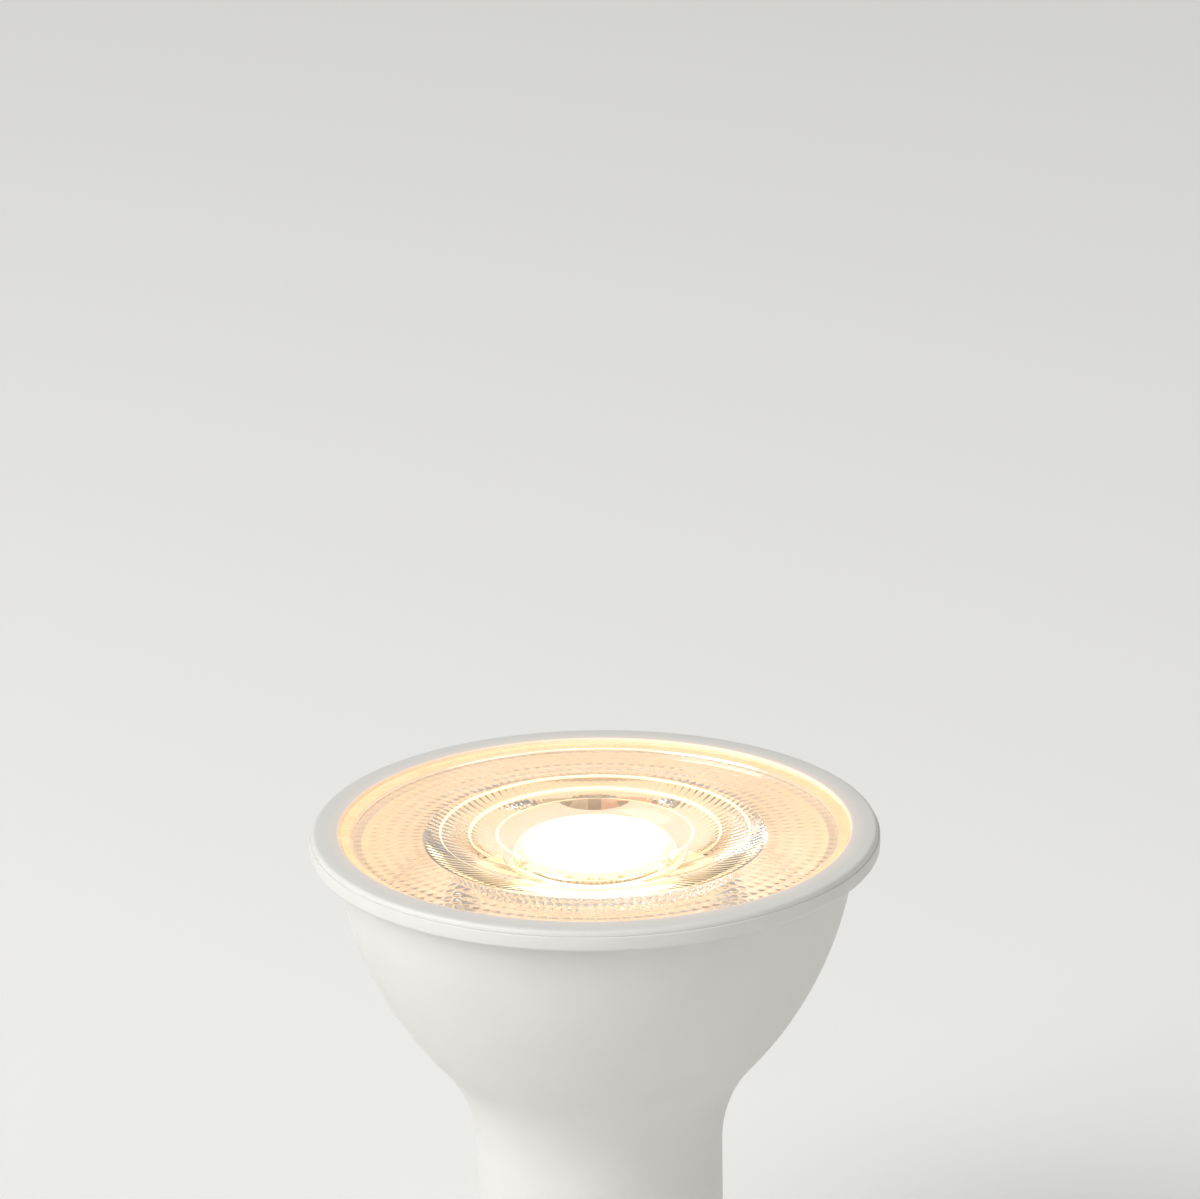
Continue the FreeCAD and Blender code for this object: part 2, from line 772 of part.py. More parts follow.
# Base cap: closes the neck, carries the pins, and its spigot's end stops the driver board
def make_base_cap():
    body = new_body("base_cap")
    spigot = neck_inner - d.loose_gap
    spigot_bore = spigot - d.cap_spigot_wall
    turned(body, "section", [
        (ZERO, ZERO),
        (d.neck_radius - d.cap_bevel, ZERO),
        (d.neck_radius, d.cap_bevel),
        (d.neck_radius, d.cap_rise),
        (spigot, d.cap_rise),
        (spigot, cap_top),
        (spigot_bore, cap_top),
        (spigot_bore, d.cap_floor),
        (ZERO, d.cap_floor),
    ])
    for name, radius, depth in (
        ("pin_hole", d.pin_radius, d.cap_floor),
        ("collar_seat", d.pin_collar, d.pin_collar_rise),
    ):
        holes = new_sketch(body, name, "XY_Plane", depth)
        for side in (1, -1):
            draw_circle(holes, d.pin_offset * side, ZERO, radius + d.fit_gap)
        extruded(body, holes, depth, kind="Pocket")
    half = d.catch_width / 2
    root_reach = spigot - d.cap_spigot_wall / 2
    tip = spigot + d.catch_reach
    for name, side in (("front", -1), ("back", 1)):
        catch = new_sketch(body, f"{name}_catch", "YZ_Plane")
        draw_outline(catch, [
            (root_reach * side, catch_foot),
            (tip * side, catch_foot),
            (spigot * side, catch_foot + d.catch_rise),
            (root_reach * side, catch_foot + d.catch_rise),
        ][::side])
        extruded(body, catch, half * 2, middle=True)
    return body


# Contact pins: turned, with a head to lock, a collar flush in the cap's end face, one on its floor,
# and a crimped tail
def make_contact_pin(label, side):
    body = new_body(label)
    bore = d.wire_radius + d.fit_gap
    tip = -d.pin_length
    turned(body, "section", [
        (ZERO, tip),
        (d.pin_head - d.pin_chamfer, tip),
        (d.pin_head, tip + d.pin_chamfer),
        (d.pin_head, tip + d.pin_head_rise),
        (d.pin_radius, tip + d.pin_head_rise),
        (d.pin_radius, ZERO),
        (d.pin_collar, ZERO),
        (d.pin_collar, d.pin_collar_rise),
        (d.pin_radius, d.pin_collar_rise),
        (d.pin_radius, d.cap_floor),
        (d.pin_collar, d.cap_floor),
        (d.pin_collar, d.cap_floor + d.pin_collar_rise),
        (d.pin_tail, d.cap_floor + d.pin_collar_rise),
        (d.pin_tail, pin_tail_top),
        (bore, pin_tail_top),
        (bore, pin_tail_top - d.pin_bore_depth),
        (ZERO, pin_tail_top - d.pin_bore_depth),
    ])
    place(body, d.pin_offset * side)
    return body


# Driver board and what stands on it
def lead_places():
    """Every lead that passes through the driver board, as (across, up)."""
    places = [
        (-d.bulk_pitch / 2, bulk_up),
        (d.bulk_pitch / 2, bulk_up),
        (output_across - d.output_pitch / 2, transformer_up),
        (output_across + d.output_pitch / 2, transformer_up),
        (-d.choke_across - d.choke_pitch / 2, film_up),
        (-d.choke_across + d.choke_pitch / 2, film_up),
        (d.film_across, film_up - d.film_pitch / 2),
        (d.film_across, film_up + d.film_pitch / 2),
        (fuse_across, fuse_up),
        (fuse_across, fuse_up + d.fuse_pitch),
    ]
    for across, along in bobbin_pins():
        places.append((transformer_across + across, transformer_up + along))
    return places


def bobbin_pins():
    across = d.bobbin_half_width - d.lead_radius * 2
    along = d.bobbin_half_depth - d.lead_radius * 2
    return [(across * x_side, along * y_side) for x_side in (1, -1) for y_side in (1, -1)]


def make_driver_board():
    body = new_body("driver_board")
    sketch = new_sketch(body, "face", "XZ_Plane", d.driver_setback)
    shoulder = driver_top - d.driver_corner
    head_half = driver_half_width - d.driver_corner
    draw_outline(sketch, [
        (-driver_half_width, cap_top),
        (driver_half_width, cap_top),
        (driver_half_width, shoulder),
        (head_half, driver_top),
        (-head_half, driver_top),
        (-driver_half_width, shoulder),
    ])
    for across, up in lead_places():
        draw_circle(sketch, across, up, d.lead_hole_radius)
    extruded(body, sketch, d.driver_thick)
    return body


def add_leads(body, places):
    """Straight leads down through the driver board, at places in the part's own frame."""
    sketch = new_sketch(body, "leads", "XY_Plane")
    for across, along in places:
        draw_circle(sketch, across, along, d.lead_radius)
    extruded(body, sketch, d.driver_thick + d.lead_tip, backwards=True)


def make_can(label, radius, rise, pitch):
    """Electrolytic capacitor: a rolled can with a crimp groove near its foot."""
    body = new_body(label)
    groove = d.can_groove
    groove_foot = d.can_groove_lift
    turned(body, "can", [
        (ZERO, ZERO),
        (radius - groove, ZERO),
        (radius, groove),
        (radius, groove_foot),
        (radius - groove, groove_foot + groove),
        (radius, groove_foot + groove * 2),
        (radius, rise - d.can_round),
        (radius - d.can_round, rise, d.can_round, 1),
        (ZERO, rise),
    ])
    add_leads(body, [(pitch / 2, ZERO), (-pitch / 2, ZERO)])
    return body


def make_film_capacitor():
    body = new_body("film_capacitor")
    half_width = d.film_width / 2
    half_length = d.film_length / 2
    base = new_sketch(body, "base", "XY_Plane")
    draw_outline(base, rectangle(-half_width, -half_length, half_width, half_length))
    box = extruded(body, base, d.film_rise)
    edges = body.newObject("PartDesign::Fillet", "film_capacitor_edges")
    top = max(box.Shape.Faces, key=lambda face: face.CenterOfMass.z)
    number = [face.isSame(top) for face in box.Shape.Faces].index(True) + 1
    edges.Base = (box, [f"Face{number}"])
    edges.setExpression("Radius", d.film_round.text)
    body.Tip = edges
    add_leads(body, [(ZERO, d.film_pitch / 2), (ZERO, -d.film_pitch / 2)])
    return body


def make_choke_core():
    """Drum of ferrite with a flange at each end."""
    body = new_body("choke_core")
    turned(body, "drum", [
        (ZERO, ZERO),
        (d.choke_radius, ZERO),
        (d.choke_radius, d.choke_flange),
        (d.choke_hub, d.choke_flange),
        (d.choke_hub, d.choke_rise - d.choke_flange),
        (d.choke_radius, d.choke_rise - d.choke_flange),
        (d.choke_radius, d.choke_rise),
        (ZERO, d.choke_rise),
    ])
    add_leads(body, [(d.choke_pitch / 2, ZERO), (-d.choke_pitch / 2, ZERO)])
    return body


def make_choke_winding():
    body = new_body("choke_winding")
    inner = d.choke_hub + d.fit_gap
    outer = d.choke_radius - d.can_groove
    turned(body, "coil", rectangle(inner, d.choke_flange, outer, d.choke_rise - d.choke_flange))
    return body


# Transformer: an upright E core through a bobbin that stands on four pins
window_foot = d.core_lift + d.core_yoke
window_top = window_foot + d.core_window
flange_top = window_foot + d.bobbin_wall


def make_transformer_core():
    body = new_body("transformer_core")
    half = d.core_width / 2
    post = d.core_post / 2
    sketch = new_sketch(body, "face", "XZ_Plane")
    draw_outline(sketch, rectangle(-half, d.core_lift, half, window_top + d.core_yoke))
    draw_outline(sketch, rectangle(post, window_foot, half - d.core_leg, window_top))
    draw_outline(sketch, rectangle(d.core_leg - half, window_foot, -post, window_top))
    extruded(body, sketch, d.core_depth, middle=True)
    return body


def make_transformer_bobbin():
    """Tube round the core's post, a flange at each end, and two rails that hold the pins."""
    body = new_body("transformer_bobbin")
    tube_half_x = d.core_post / 2 + d.fit_gap
    tube_half_y = d.core_depth / 2 + d.fit_gap
    wall = d.bobbin_wall
    for name, foot, thick, half_x, half_y in (
        ("low_flange", window_foot, wall, d.bobbin_half_width, d.bobbin_half_depth),
        ("tube", flange_top, d.core_window - wall * 2, tube_half_x + wall, tube_half_y + wall),
        ("top_flange", window_top - wall, wall, d.bobbin_half_width, d.bobbin_half_depth),
    ):
        sketch = new_sketch(body, name, "XY_Plane", foot)
        draw_outline(sketch, rectangle(-half_x, -half_y, half_x, half_y))
        draw_outline(sketch, rectangle(-tube_half_x, -tube_half_y, tube_half_x, tube_half_y))
        extruded(body, sketch, thick)
    rails = new_sketch(body, "rails", "XY_Plane")
    for low, high in ((tube_half_y, d.bobbin_half_depth), (-d.bobbin_half_depth, -tube_half_y)):
        draw_outline(rails, rectangle(-d.bobbin_half_width, low, d.bobbin_half_width, high))
    extruded(body, rails, window_foot)
    add_leads(body, bobbin_pins())
    return body


def make_transformer_winding():
    body = new_body("transformer_winding")
    inner_x = d.core_post / 2 + d.bobbin_wall + d.fit_gap * 2
    inner_y = d.core_depth / 2 + d.bobbin_wall + d.fit_gap * 2
    outer_x = d.bobbin_half_width - d.loose_gap
    outer_y = d.bobbin_half_depth - d.loose_gap
    sketch = new_sketch(body, "face", "XY_Plane", flange_top)
    draw_outline(sketch, rectangle(-outer_x, -outer_y, outer_x, outer_y))
    draw_outline(sketch, rectangle(-inner_x, -inner_y, inner_x, inner_y))
    extruded(body, sketch, d.core_window - d.bobbin_wall * 2)
    return body


# Fusible resistor: it stands on end, and its upper lead loops back down to the board
def make_fusible_resistor():
    radius = d.fuse_radius.value
    rise = d.fuse_rise.value
    lead = d.lead_radius.value
    pitch = d.fuse_pitch.value
    depth = (d.driver_thick + d.lead_tip).value
    loop_top = rise + d.fuse_loop.value + pitch / 2
    barrel = Part.makeCylinder(radius, rise)
    barrel = barrel.makeFillet(d.fuse_round.value, [barrel.Edges[0], barrel.Edges[2]])
    corners = [(0, rise / 2), (0, loop_top), (-pitch, loop_top), (-pitch, -depth)]
    bend = (d.fuse_pitch / 2 - d.fit_gap).value
    loop = tube([FreeCAD.Vector(0, along, up) for along, up in corners], [bend, bend], lead)
    foot = Part.makeCylinder(lead, rise / 2 + depth, FreeCAD.Vector(0, 0, -depth))
    item = shape_part("fusible_resistor", barrel.fuse([loop, foot]).removeSplitter())
    return on_front(item, fuse_across, fuse_up)


def make_flat_part(label, length, width, rise, pitch, per_side, foot_width):
    """Moulded package with gull-wing feet along both long sides."""
    body = new_body(label)
    half_length = length / 2
    half_width = width / 2
    lift = d.package_lift
    draft = d.package_draft
    middle = (rise + lift) / 2
    side = new_sketch(body, "side", "YZ_Plane")
    draw_outline(side, [
        (-half_width + draft, lift),
        (half_width - draft, lift),
        (half_width, middle),
        (half_width - draft, rise),
        (-half_width + draft, rise),
        (-half_width, middle),
    ])
    extruded(body, side, length, middle=True)
    first = pitch * (per_side - 1) / -2
    toe = half_width + d.foot_reach
    knee = half_width + d.foot_knee
    inside = half_width - d.foot_thick * 2
    for name, turn in (("left", -1), ("right", 1)):
        feet = new_sketch(body, f"{name}_foot", "YZ_Plane", first)
        draw_outline(feet, [
            (inside * turn, middle),
            (knee * turn, middle),
            (knee * turn, d.foot_thick),
            (toe * turn, d.foot_thick),
            (toe * turn, ZERO),
            ((knee - d.foot_thick) * turn, ZERO),
            ((knee - d.foot_thick) * turn, middle - d.foot_thick),
            (inside * turn, middle - d.foot_thick),
        ][::-turn])
        foot = extruded(body, feet, foot_width, middle=True)
        if per_side > 1:
            in_row(body, foot, pitch, per_side)
    return body


# Chip resistors: alike, in one node
def make_chip_resistors():
    chips = []
    for index in range(int(d.resistor_row_count.value)):
        chip = doc.addObject("Part::Box", f"chip_resistor_{index + 1}")
        chip.setExpression("Length", d.resistor_width.text)
        chip.setExpression("Width", d.resistor_rise.text)
        chip.setExpression("Height", d.resistor_length.text)
        start = d.resistor_pitch * (d.resistor_row_count - 1) / -2
        left = start + d.resistor_pitch * index - d.resistor_width / 2
        place(chip, left, driver_back - d.resistor_rise, resistor_row_up - d.resistor_length / 2)
        chips.append(chip)
    group = doc.addObject("Part::Compound", "chip_resistors")
    group.Label = "chip_resistors"
    group.Links = chips
    return group


# Wires from the pins to the driver board, and from the driver board up to the LED board
def make_supply_wire(label, side):
    across = d.pin_offset * side
    foot = pin_tail_top - d.pin_bore_depth + d.loose_gap
    points = [
        vector(across, ZERO, foot),
        vector(across, ZERO, wire_pad_up),
        vector(across, driver_front, wire_pad_up),
    ]
    return shape_part(label, tube(points, [d.wire_bend.value], d.wire_radius.value))


def make_led_wire(label, side):
    across = d.lead_spread * side
    lying = board_top + d.wire_radius + d.fit_gap
    points = [
        vector(across, driver_front, lead_exit_up),
        vector(across, lead_hole_offset, lead_exit_up),
        vector(across, lead_hole_offset, lying),
        vector(d.lead_end * side, lead_hole_offset, lying),
    ]
    bends = [d.lead_low_bend.value, d.lead_top_bend.value]
    return shape_part(label, tube(points, bends, d.wire_radius.value))


def make_solder_joints():
    mounds = []
    for side in (1, -1):
        mound = doc.addObject("Part::Cone", f"solder_mound_{len(mounds) + 1}")
        mound.setExpression("Radius1", d.solder_radius.text)
        mound.setExpression("Radius2", (d.solder_radius / 2).text)
        mound.setExpression("Height", d.solder_rise.text)
        place(mound, (d.lead_end + d.solder_radius + d.fit_gap) * side, lead_hole_offset, board_top)
        mounds.append(mound)
    group = doc.addObject("Part::Compound", "solder_joints")
    group.Label = "solder_joints"
    group.Links = mounds
    return group


bridge_sizes = (d.bridge_length, d.bridge_width, d.bridge_rise, d.bridge_pitch, 2, d.bridge_foot)
chip_sizes = (d.chip_length, d.chip_width, d.chip_rise, d.chip_pitch, 4, d.chip_foot)
diode_sizes = (d.diode_length, d.diode_width, d.diode_rise, d.bridge_pitch, 1, d.diode_foot)
bulk_sizes = (d.bulk_radius, d.bulk_rise, d.bulk_pitch)
output_sizes = (d.output_radius, d.output_rise, d.output_pitch)

parts = [
    make_housing(),
    make_front_ring(),
    make_lens(),
    make_heat_sink(),
    make_disc("thermal_pad", cup_floor_top, d.pad_thick),
    make_disc("led_board", board_under, d.board_thick),
    make_board_screw("board_screw_left", -1),
    make_board_screw("board_screw_right", 1),
    *make_leds(),
    make_solder_joints(),
    make_led_wire("led_wire_plus", 1),
    make_led_wire("led_wire_minus", -1),
    make_base_cap(),
    make_contact_pin("contact_pin_left", -1),
    make_contact_pin("contact_pin_right", 1),
    make_supply_wire("live_wire", -1),
    make_supply_wire("neutral_wire", 1),
    make_driver_board(),
    on_front(make_can("bulk_capacitor", *bulk_sizes), ZERO, bulk_up),
    on_front(make_can("output_capacitor", *output_sizes), output_across, transformer_up),
    on_front(make_film_capacitor(), d.film_across, film_up),
    on_front(make_choke_core(), -d.choke_across, film_up),
    on_front(make_choke_winding(), -d.choke_across, film_up),
    on_front(make_transformer_core(), transformer_across, transformer_up),
    on_front(make_transformer_bobbin(), transformer_across, transformer_up),
    on_front(make_transformer_winding(), transformer_across, transformer_up),
    make_fusible_resistor(),
    on_back(make_flat_part("bridge_rectifier", *bridge_sizes), ZERO, film_up),
    on_back(make_flat_part("driver_chip", *chip_sizes), -d.chip_across, transformer_up),
    on_back(make_flat_part("output_diode", *diode_sizes), transformer_across, transformer_up),
    make_chip_resistors(),
]

doc.recompute()
faults = [f"{item.Name}: {item.State}" for item in doc.Objects if {"Invalid", "Error"} & set(item.State)]
for part in parts:
    if part.Shape.isNull() or not part.Shape.isValid():
        faults.append(f"{part.Label}: its shape is null or not valid")
    elif not part.Shape.Solids:
        faults.append(f"{part.Label}: it has no solid")
if faults:
    raise RuntimeError("; ".join(faults))

os.makedirs("parts", exist_ok=True)
for part in parts:
    part.Shape.exportStep(f"parts/{part.Label}.step")
print(f"{len(parts)} parts written")
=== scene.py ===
import math

import bmesh
import bpy
from mathutils import Matrix, Vector


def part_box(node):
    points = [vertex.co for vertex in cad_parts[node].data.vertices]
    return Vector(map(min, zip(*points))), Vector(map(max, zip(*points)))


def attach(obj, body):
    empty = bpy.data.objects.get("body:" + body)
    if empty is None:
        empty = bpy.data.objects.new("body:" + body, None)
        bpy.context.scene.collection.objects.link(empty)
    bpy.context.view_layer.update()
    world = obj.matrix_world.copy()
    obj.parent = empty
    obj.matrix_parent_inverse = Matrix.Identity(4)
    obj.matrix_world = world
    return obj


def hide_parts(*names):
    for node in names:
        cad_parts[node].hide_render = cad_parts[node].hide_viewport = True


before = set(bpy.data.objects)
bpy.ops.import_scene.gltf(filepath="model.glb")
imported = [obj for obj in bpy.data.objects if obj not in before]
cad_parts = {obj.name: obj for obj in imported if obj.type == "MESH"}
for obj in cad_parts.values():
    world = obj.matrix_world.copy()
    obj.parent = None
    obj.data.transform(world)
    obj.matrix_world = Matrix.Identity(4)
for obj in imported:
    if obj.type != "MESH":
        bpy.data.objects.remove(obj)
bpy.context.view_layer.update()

# Twist-lock spotlight bulb, lit. Sizes here are millimetres, and every piece lies where its solid lies.
MM = 0.001


def foot(node):
    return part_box(node)[0].z / MM


def top(node):
    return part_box(node)[1].z / MM


def reach(node):
    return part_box(node)[1].x / MM


# Sizes that the frame gives
RIM_RADIUS = reach("housing")
PARTING = top("housing")
SHELL_FOOT = foot("housing")
RING_TOP = top("front_ring")
RING_RADIUS = reach("front_ring")
RING_FOOT = foot("front_ring")
NECK_RADIUS = reach("base_cap")
CAP_TOP = top("base_cap")
LENS_RADIUS = reach("lens")
CUP_SEAT = foot("heat_sink")
BOARD_TOP = top("led_board")
LED_TOP = top("led_package_1")
DRIVER_HALF_WIDTH = reach("driver_board")
DRIVER_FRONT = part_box("driver_board")[1].y / MM
DRIVER_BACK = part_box("driver_board")[0].y / MM
SCREW_OFFSET = (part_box("board_screw_right")[0].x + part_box("board_screw_right")[1].x) / 2 / MM
PIN_TIP = foot("contact_pin_right")

# Form of the shell, as its solid has it
SHELL_WALL = 1.5
MOUTH_RADIUS = 22.89
BOWL_ARC = 33.84
BOWL_CENTRE_RISE = 1.62
WAIST_ARC = 13.12
FLANGE_BAND = 1.3
FLANGE_WALL = 1.3
FIT_GAP = 0.05
LOOSE_GAP = 0.1
RING_LIP = 0.65
OPENING_RADIUS = 22.43
SNAP_BEAD = 0.12
SNAP_WIDTH = 0.3
RIB_COUNT = 6
RIB_THICK = 1.2
RIB_INSET = 2.6
RIB_DROP = 7.2
GUIDE_GRIP = 0.7
GUIDE_THICK = 1.1

# Form of the lens
LENS_RECESS = 0.25
LENS_DISC = 1.75
LENS_FLANGE = 0.55
TERRACE_RADIUS = 13.5
TERRACE_DEPTH = 0.15
DISH_RADIUS = 10.9
DISH_DEPTH = 0.35
DOME_RADIUS = 8.6
DOME_RISE = 0.55
CONE_RISE = 0.6
CONE_ARC = 15.0
CONE_FOOT = 7.9
CONE_MOUTH = 15.23
CAVITY_RADIUS = 7.1
CAVITY_TAPER = 0.5
CAVITY_DEPTH = 3.5
CAVITY_DOME = 1.4

# Patterns of the lens: flutes round the cone, rows of pillows on the back, micro lenses over the LEDs
FLUTE_COUNT = 120
FLUTE_DEPTH = 0.16
FLUTE_START = 10.5
PILLOW_ROWS = 5
PILLOW_DEPTH = 0.03
MICRO_PITCH = 0.5
MICRO_DEPTH = 0.03

# Pads on the LED board
PAD_ANGLES = (-115, -95, -85, -65, -45, -135)
PAD_RADIUS = 10.2
PAD_WIDTH = 0.7
PAD_LENGTH = 1.2
PAD_THICK = 0.04

# Rings of the lens's face whose edges catch the light: inner and outer radius
STEP_MARGIN = 0.02
DOME_EDGE = 0.1
FACE_STEPS = (
    (DOME_RADIUS - DOME_EDGE, DOME_RADIUS + DOME_EDGE),
    (DISH_RADIUS - STEP_MARGIN, DISH_RADIUS + DISH_DEPTH - TERRACE_DEPTH + STEP_MARGIN),
    (TERRACE_RADIUS - STEP_MARGIN, TERRACE_RADIUS + TERRACE_DEPTH + STEP_MARGIN),
)

# Heights that follow from them
FLANGE_UNDER = PARTING - FLANGE_BAND
LIP_UNDER = RING_TOP - RING_LIP
LENS_FLANGE_TOP = LIP_UNDER - FIT_GAP
LEDGE = LENS_FLANGE_TOP - LENS_FLANGE
LENS_FACE = RING_TOP - LENS_RECESS
LENS_BACK = LENS_FACE - LENS_DISC
LENS_PLUG = MOUTH_RADIUS - SHELL_WALL - LOOSE_GAP
CAVITY_FOOT = BOARD_TOP + CONE_RISE
SPIGOT_INNER = LENS_RADIUS + LOOSE_GAP
RECESS_RADIUS = RIM_RADIUS - FLANGE_WALL
SPIGOT_OUTER = RECESS_RADIUS - FIT_GAP
SNAP_HEIGHT = (PARTING + RING_FOOT) / 2
MOUTH_INNER = MOUTH_RADIUS - SHELL_WALL
NECK_INNER = NECK_RADIUS - SHELL_WALL

BOWL_CENTRE_Z = RING_TOP + BOWL_CENTRE_RISE
BOWL_CENTRE_R = MOUTH_RADIUS - math.sqrt(BOWL_ARC ** 2 - (BOWL_CENTRE_Z - FLANGE_UNDER) ** 2)
WAIST_CENTRE_R = NECK_RADIUS + WAIST_ARC
CENTRES_RUN = WAIST_CENTRE_R - BOWL_CENTRE_R
CENTRES_DROP = math.sqrt((BOWL_ARC + WAIST_ARC) ** 2 - CENTRES_RUN ** 2)
WAIST_CENTRE_Z = BOWL_CENTRE_Z - CENTRES_DROP

# Steps round a full turn, the equal sectors that a turned piece is put together from, and the longest chord
# along an outline's arcs
TURN_STEPS = 240
LENS_STEPS = FLUTE_COUNT * 4
SECTORS = 8
ARC_CHORD = 0.6
EDGE_STEPS = 4
SMOOTH_ANGLE = math.radians(35)
MERGE_GAP = 0.001 * MM


def bowl_radius(height, inset):
    """Radius at a height of the surface that lies inset inside the bowl."""
    return BOWL_CENTRE_R + math.sqrt((BOWL_ARC - inset) ** 2 - (BOWL_CENTRE_Z - height) ** 2)


def bowl_foot(inset):
    """Point where the surface inset inside the bowl meets the one inside the waist."""
    share = (BOWL_ARC - inset) / (BOWL_ARC + WAIST_ARC)
    return BOWL_CENTRE_R + CENTRES_RUN * share, BOWL_CENTRE_Z - CENTRES_DROP * share


def arc_points(start, end, radius, turn, chord=ARC_CHORD):
    """Points along an arc from start to end, without start; turn is 1 where it runs anticlockwise."""
    start = Vector(start)
    end = Vector(end)
    half = (end - start) / 2
    away = math.sqrt(max(radius * radius - half.length_squared, 0.0))
    centre = start + half + Vector((-half.y, half.x)).normalized() * away * turn
    first = start - centre
    sweep = 2 * math.asin(min(half.length / radius, 1.0)) * turn
    count = max(3, math.ceil(abs(sweep) * radius / chord))
    return [centre + Matrix.Rotation(sweep * step / count, 2) @ first for step in range(1, count + 1)]


def fillet_points(before, corner, after, radius):
    """Points of a small round that takes the place of a corner."""
    corner = Vector(corner)
    back = (Vector(before) - corner).normalized()
    ahead = (Vector(after) - corner).normalized()
    half_turn = (math.pi - back.angle(ahead)) / 2
    near = corner + back * radius * math.tan(half_turn)
    far = corner + ahead * radius * math.tan(half_turn)
    points = []
    for step in range(EDGE_STEPS + 1):
        share = step / EDGE_STEPS
        points.append(near.lerp(corner, share).lerp(corner.lerp(far, share), share))
    return points


def outline(corners):
    """Points (radius, height) of a profile. A corner is (radius, height), with a third value for a small
    round there, or with two or three more values, radius, turn and chord, for the arc that arrives there."""
    points = []
    count = len(corners)
    for index, corner in enumerate(corners):
        before = corners[index - 1][:2]
        after = corners[(index + 1) % count][:2]
        if len(corner) > 3:
            points += arc_points(before, corner[:2], *corner[2:])
        elif len(corner) == 3:
            points += fillet_points(before, corner[:2], after, corner[2])
        else:
            points.append(Vector(corner))
    return points


def turned_mesh(corners, steps=TURN_STEPS):
    """Solid of revolution as a bmesh, in metres: one sector is spun, and its copies close the turn. An
    outline that starts and ends on the axis has no edge along it."""
    points = outline(corners)
    mesh = bmesh.new()
    verts = [mesh.verts.new((point.x * MM, 0, point.y * MM)) for point in points]
    pairs = list(zip(verts, verts[1:]))
    if points[0].x > 0 or points[-1].x > 0:
        pairs.append((verts[-1], verts[0]))
    edges = [mesh.edges.new(pair) for pair in pairs]
    sector = math.tau / SECTORS
    axis = {"cent": (0, 0, 0), "axis": (0, 0, 1)}
    bmesh.ops.spin(mesh, geom=verts + edges, angle=sector, steps=steps // SECTORS, use_merge=False, **axis)
    whole = mesh.verts[:] + mesh.edges[:] + mesh.faces[:]
    bmesh.ops.spin(mesh, geom=whole, angle=math.tau - sector, steps=SECTORS - 1, use_duplicate=True, **axis)
    bmesh.ops.remove_doubles(mesh, verts=mesh.verts, dist=MERGE_GAP)
    bmesh.ops.recalc_face_normals(mesh, faces=mesh.faces)
    return mesh


def add_box(mesh, low, high, turn=0.0):
    """Adds a closed box between two corners, turned about the axis."""
    low = Vector(low)
    high = Vector(high)
    size = Matrix.Diagonal((high - low) * MM).to_4x4()
    place = Matrix.Rotation(turn, 4, "Z") @ Matrix.Translation((low + high) / 2 * MM)
    bmesh.ops.create_cube(mesh, size=1, matrix=place @ size)


def as_piece(name, mesh, materials, slot, *nodes):
    """Makes the bmesh a smooth piece that rides on the part and stands for its solids."""
    data = bpy.data.meshes.new(name)
    mesh.to_mesh(data)
    mesh.free()
    data.shade_smooth()
    data.set_sharp_from_angle(angle=SMOOTH_ANGLE)
    for material in materials:
        data.materials.append(material)
    piece = bpy.data.objects.new(name, data)
    bpy.context.scene.collection.objects.link(piece)
    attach(piece, "root")
    if nodes:
        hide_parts(*nodes)
    return piece


def merged_copy(node):
    """A node's mesh with its loose triangles joined, so that its rounds shade smooth."""
    mesh = bmesh.new()
    mesh.from_mesh(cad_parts[node].data)
    bmesh.ops.remove_doubles(mesh, verts=mesh.verts, dist=MERGE_GAP)
    return mesh


# Materials
def linear(code):
    """An sRGB hex colour as the linear values that a socket holds."""
    channels = [int(code[index:index + 2], 16) / 255 for index in (1, 3, 5)]
    return (*[c / 12.92 if c <= 0.04045 else ((c + 0.055) / 1.055) ** 2.4 for c in channels], 1)


def add_node(material, kind, settings=None, links=None):
    """Adds a node. Settings are its own properties, or its sockets by name or number; links name the
    socket that another node's output goes to."""
    node = material.node_tree.nodes.new(kind)
    for key, value in (settings or {}).items():
        if isinstance(key, str) and hasattr(node, key):
            setattr(node, key, value)
        else:
            node.inputs[key].default_value = value
    for key, output in (links or {}).items():
        material.node_tree.links.new(output, node.inputs[key])
    return node


def new_material(name, settings):
    """A material with one surface shader, and the shader itself."""
    material = bpy.data.materials.new(name)
    material.use_nodes = True
    shader = material.node_tree.nodes["Principled BSDF"]
    for key, value in settings.items():
        shader.inputs[key].default_value = value
    return material, shader


def link(material, output, shader, socket):
    material.node_tree.links.new(output, shader.inputs[socket])


def object_place(material):
    return add_node(material, "ShaderNodeTexCoord").outputs["Object"]


def noise_of(material, size, detail=2.0):
    """Noise whose lumps measure a size in millimetres."""
    settings = {"Scale": 1 / (size * MM), "Detail": detail}
    noise = add_node(material, "ShaderNodeTexNoise", settings, {"Vector": object_place(material)})
    return noise.outputs["Fac"]


def blend(material, share, low, high):
    """A colour between two by a share; each is a hex colour or another node's output."""
    mix = add_node(material, "ShaderNodeMix", {"data_type": "RGBA"}, {"Factor": share})
    for key, colour in (("A", low), ("B", high)):
        if isinstance(colour, str):
            mix.inputs[key].default_value = linear(colour)
        else:
            material.node_tree.links.new(colour, mix.inputs[key])
    return mix.outputs["Result"]


def grain(material, shader, size, depth, roughness, detail=3.0):
    """Fine surface grain: noise of a size in millimetres as a bump of a depth in millimetres, and the same
    noise between two roughness values."""
    noise = noise_of(material, size, detail)
    bump = add_node(material, "ShaderNodeBump", {"Strength": 1.0, "Distance": depth * MM}, {"Height": noise})
    link(material, bump.outputs["Normal"], shader, "Normal")
    low, high = roughness
    span = add_node(material, "ShaderNodeMapRange", {"To Min": low, "To Max": high}, {"Value": noise})
    link(material, span.outputs["Result"], shader, "Roughness")


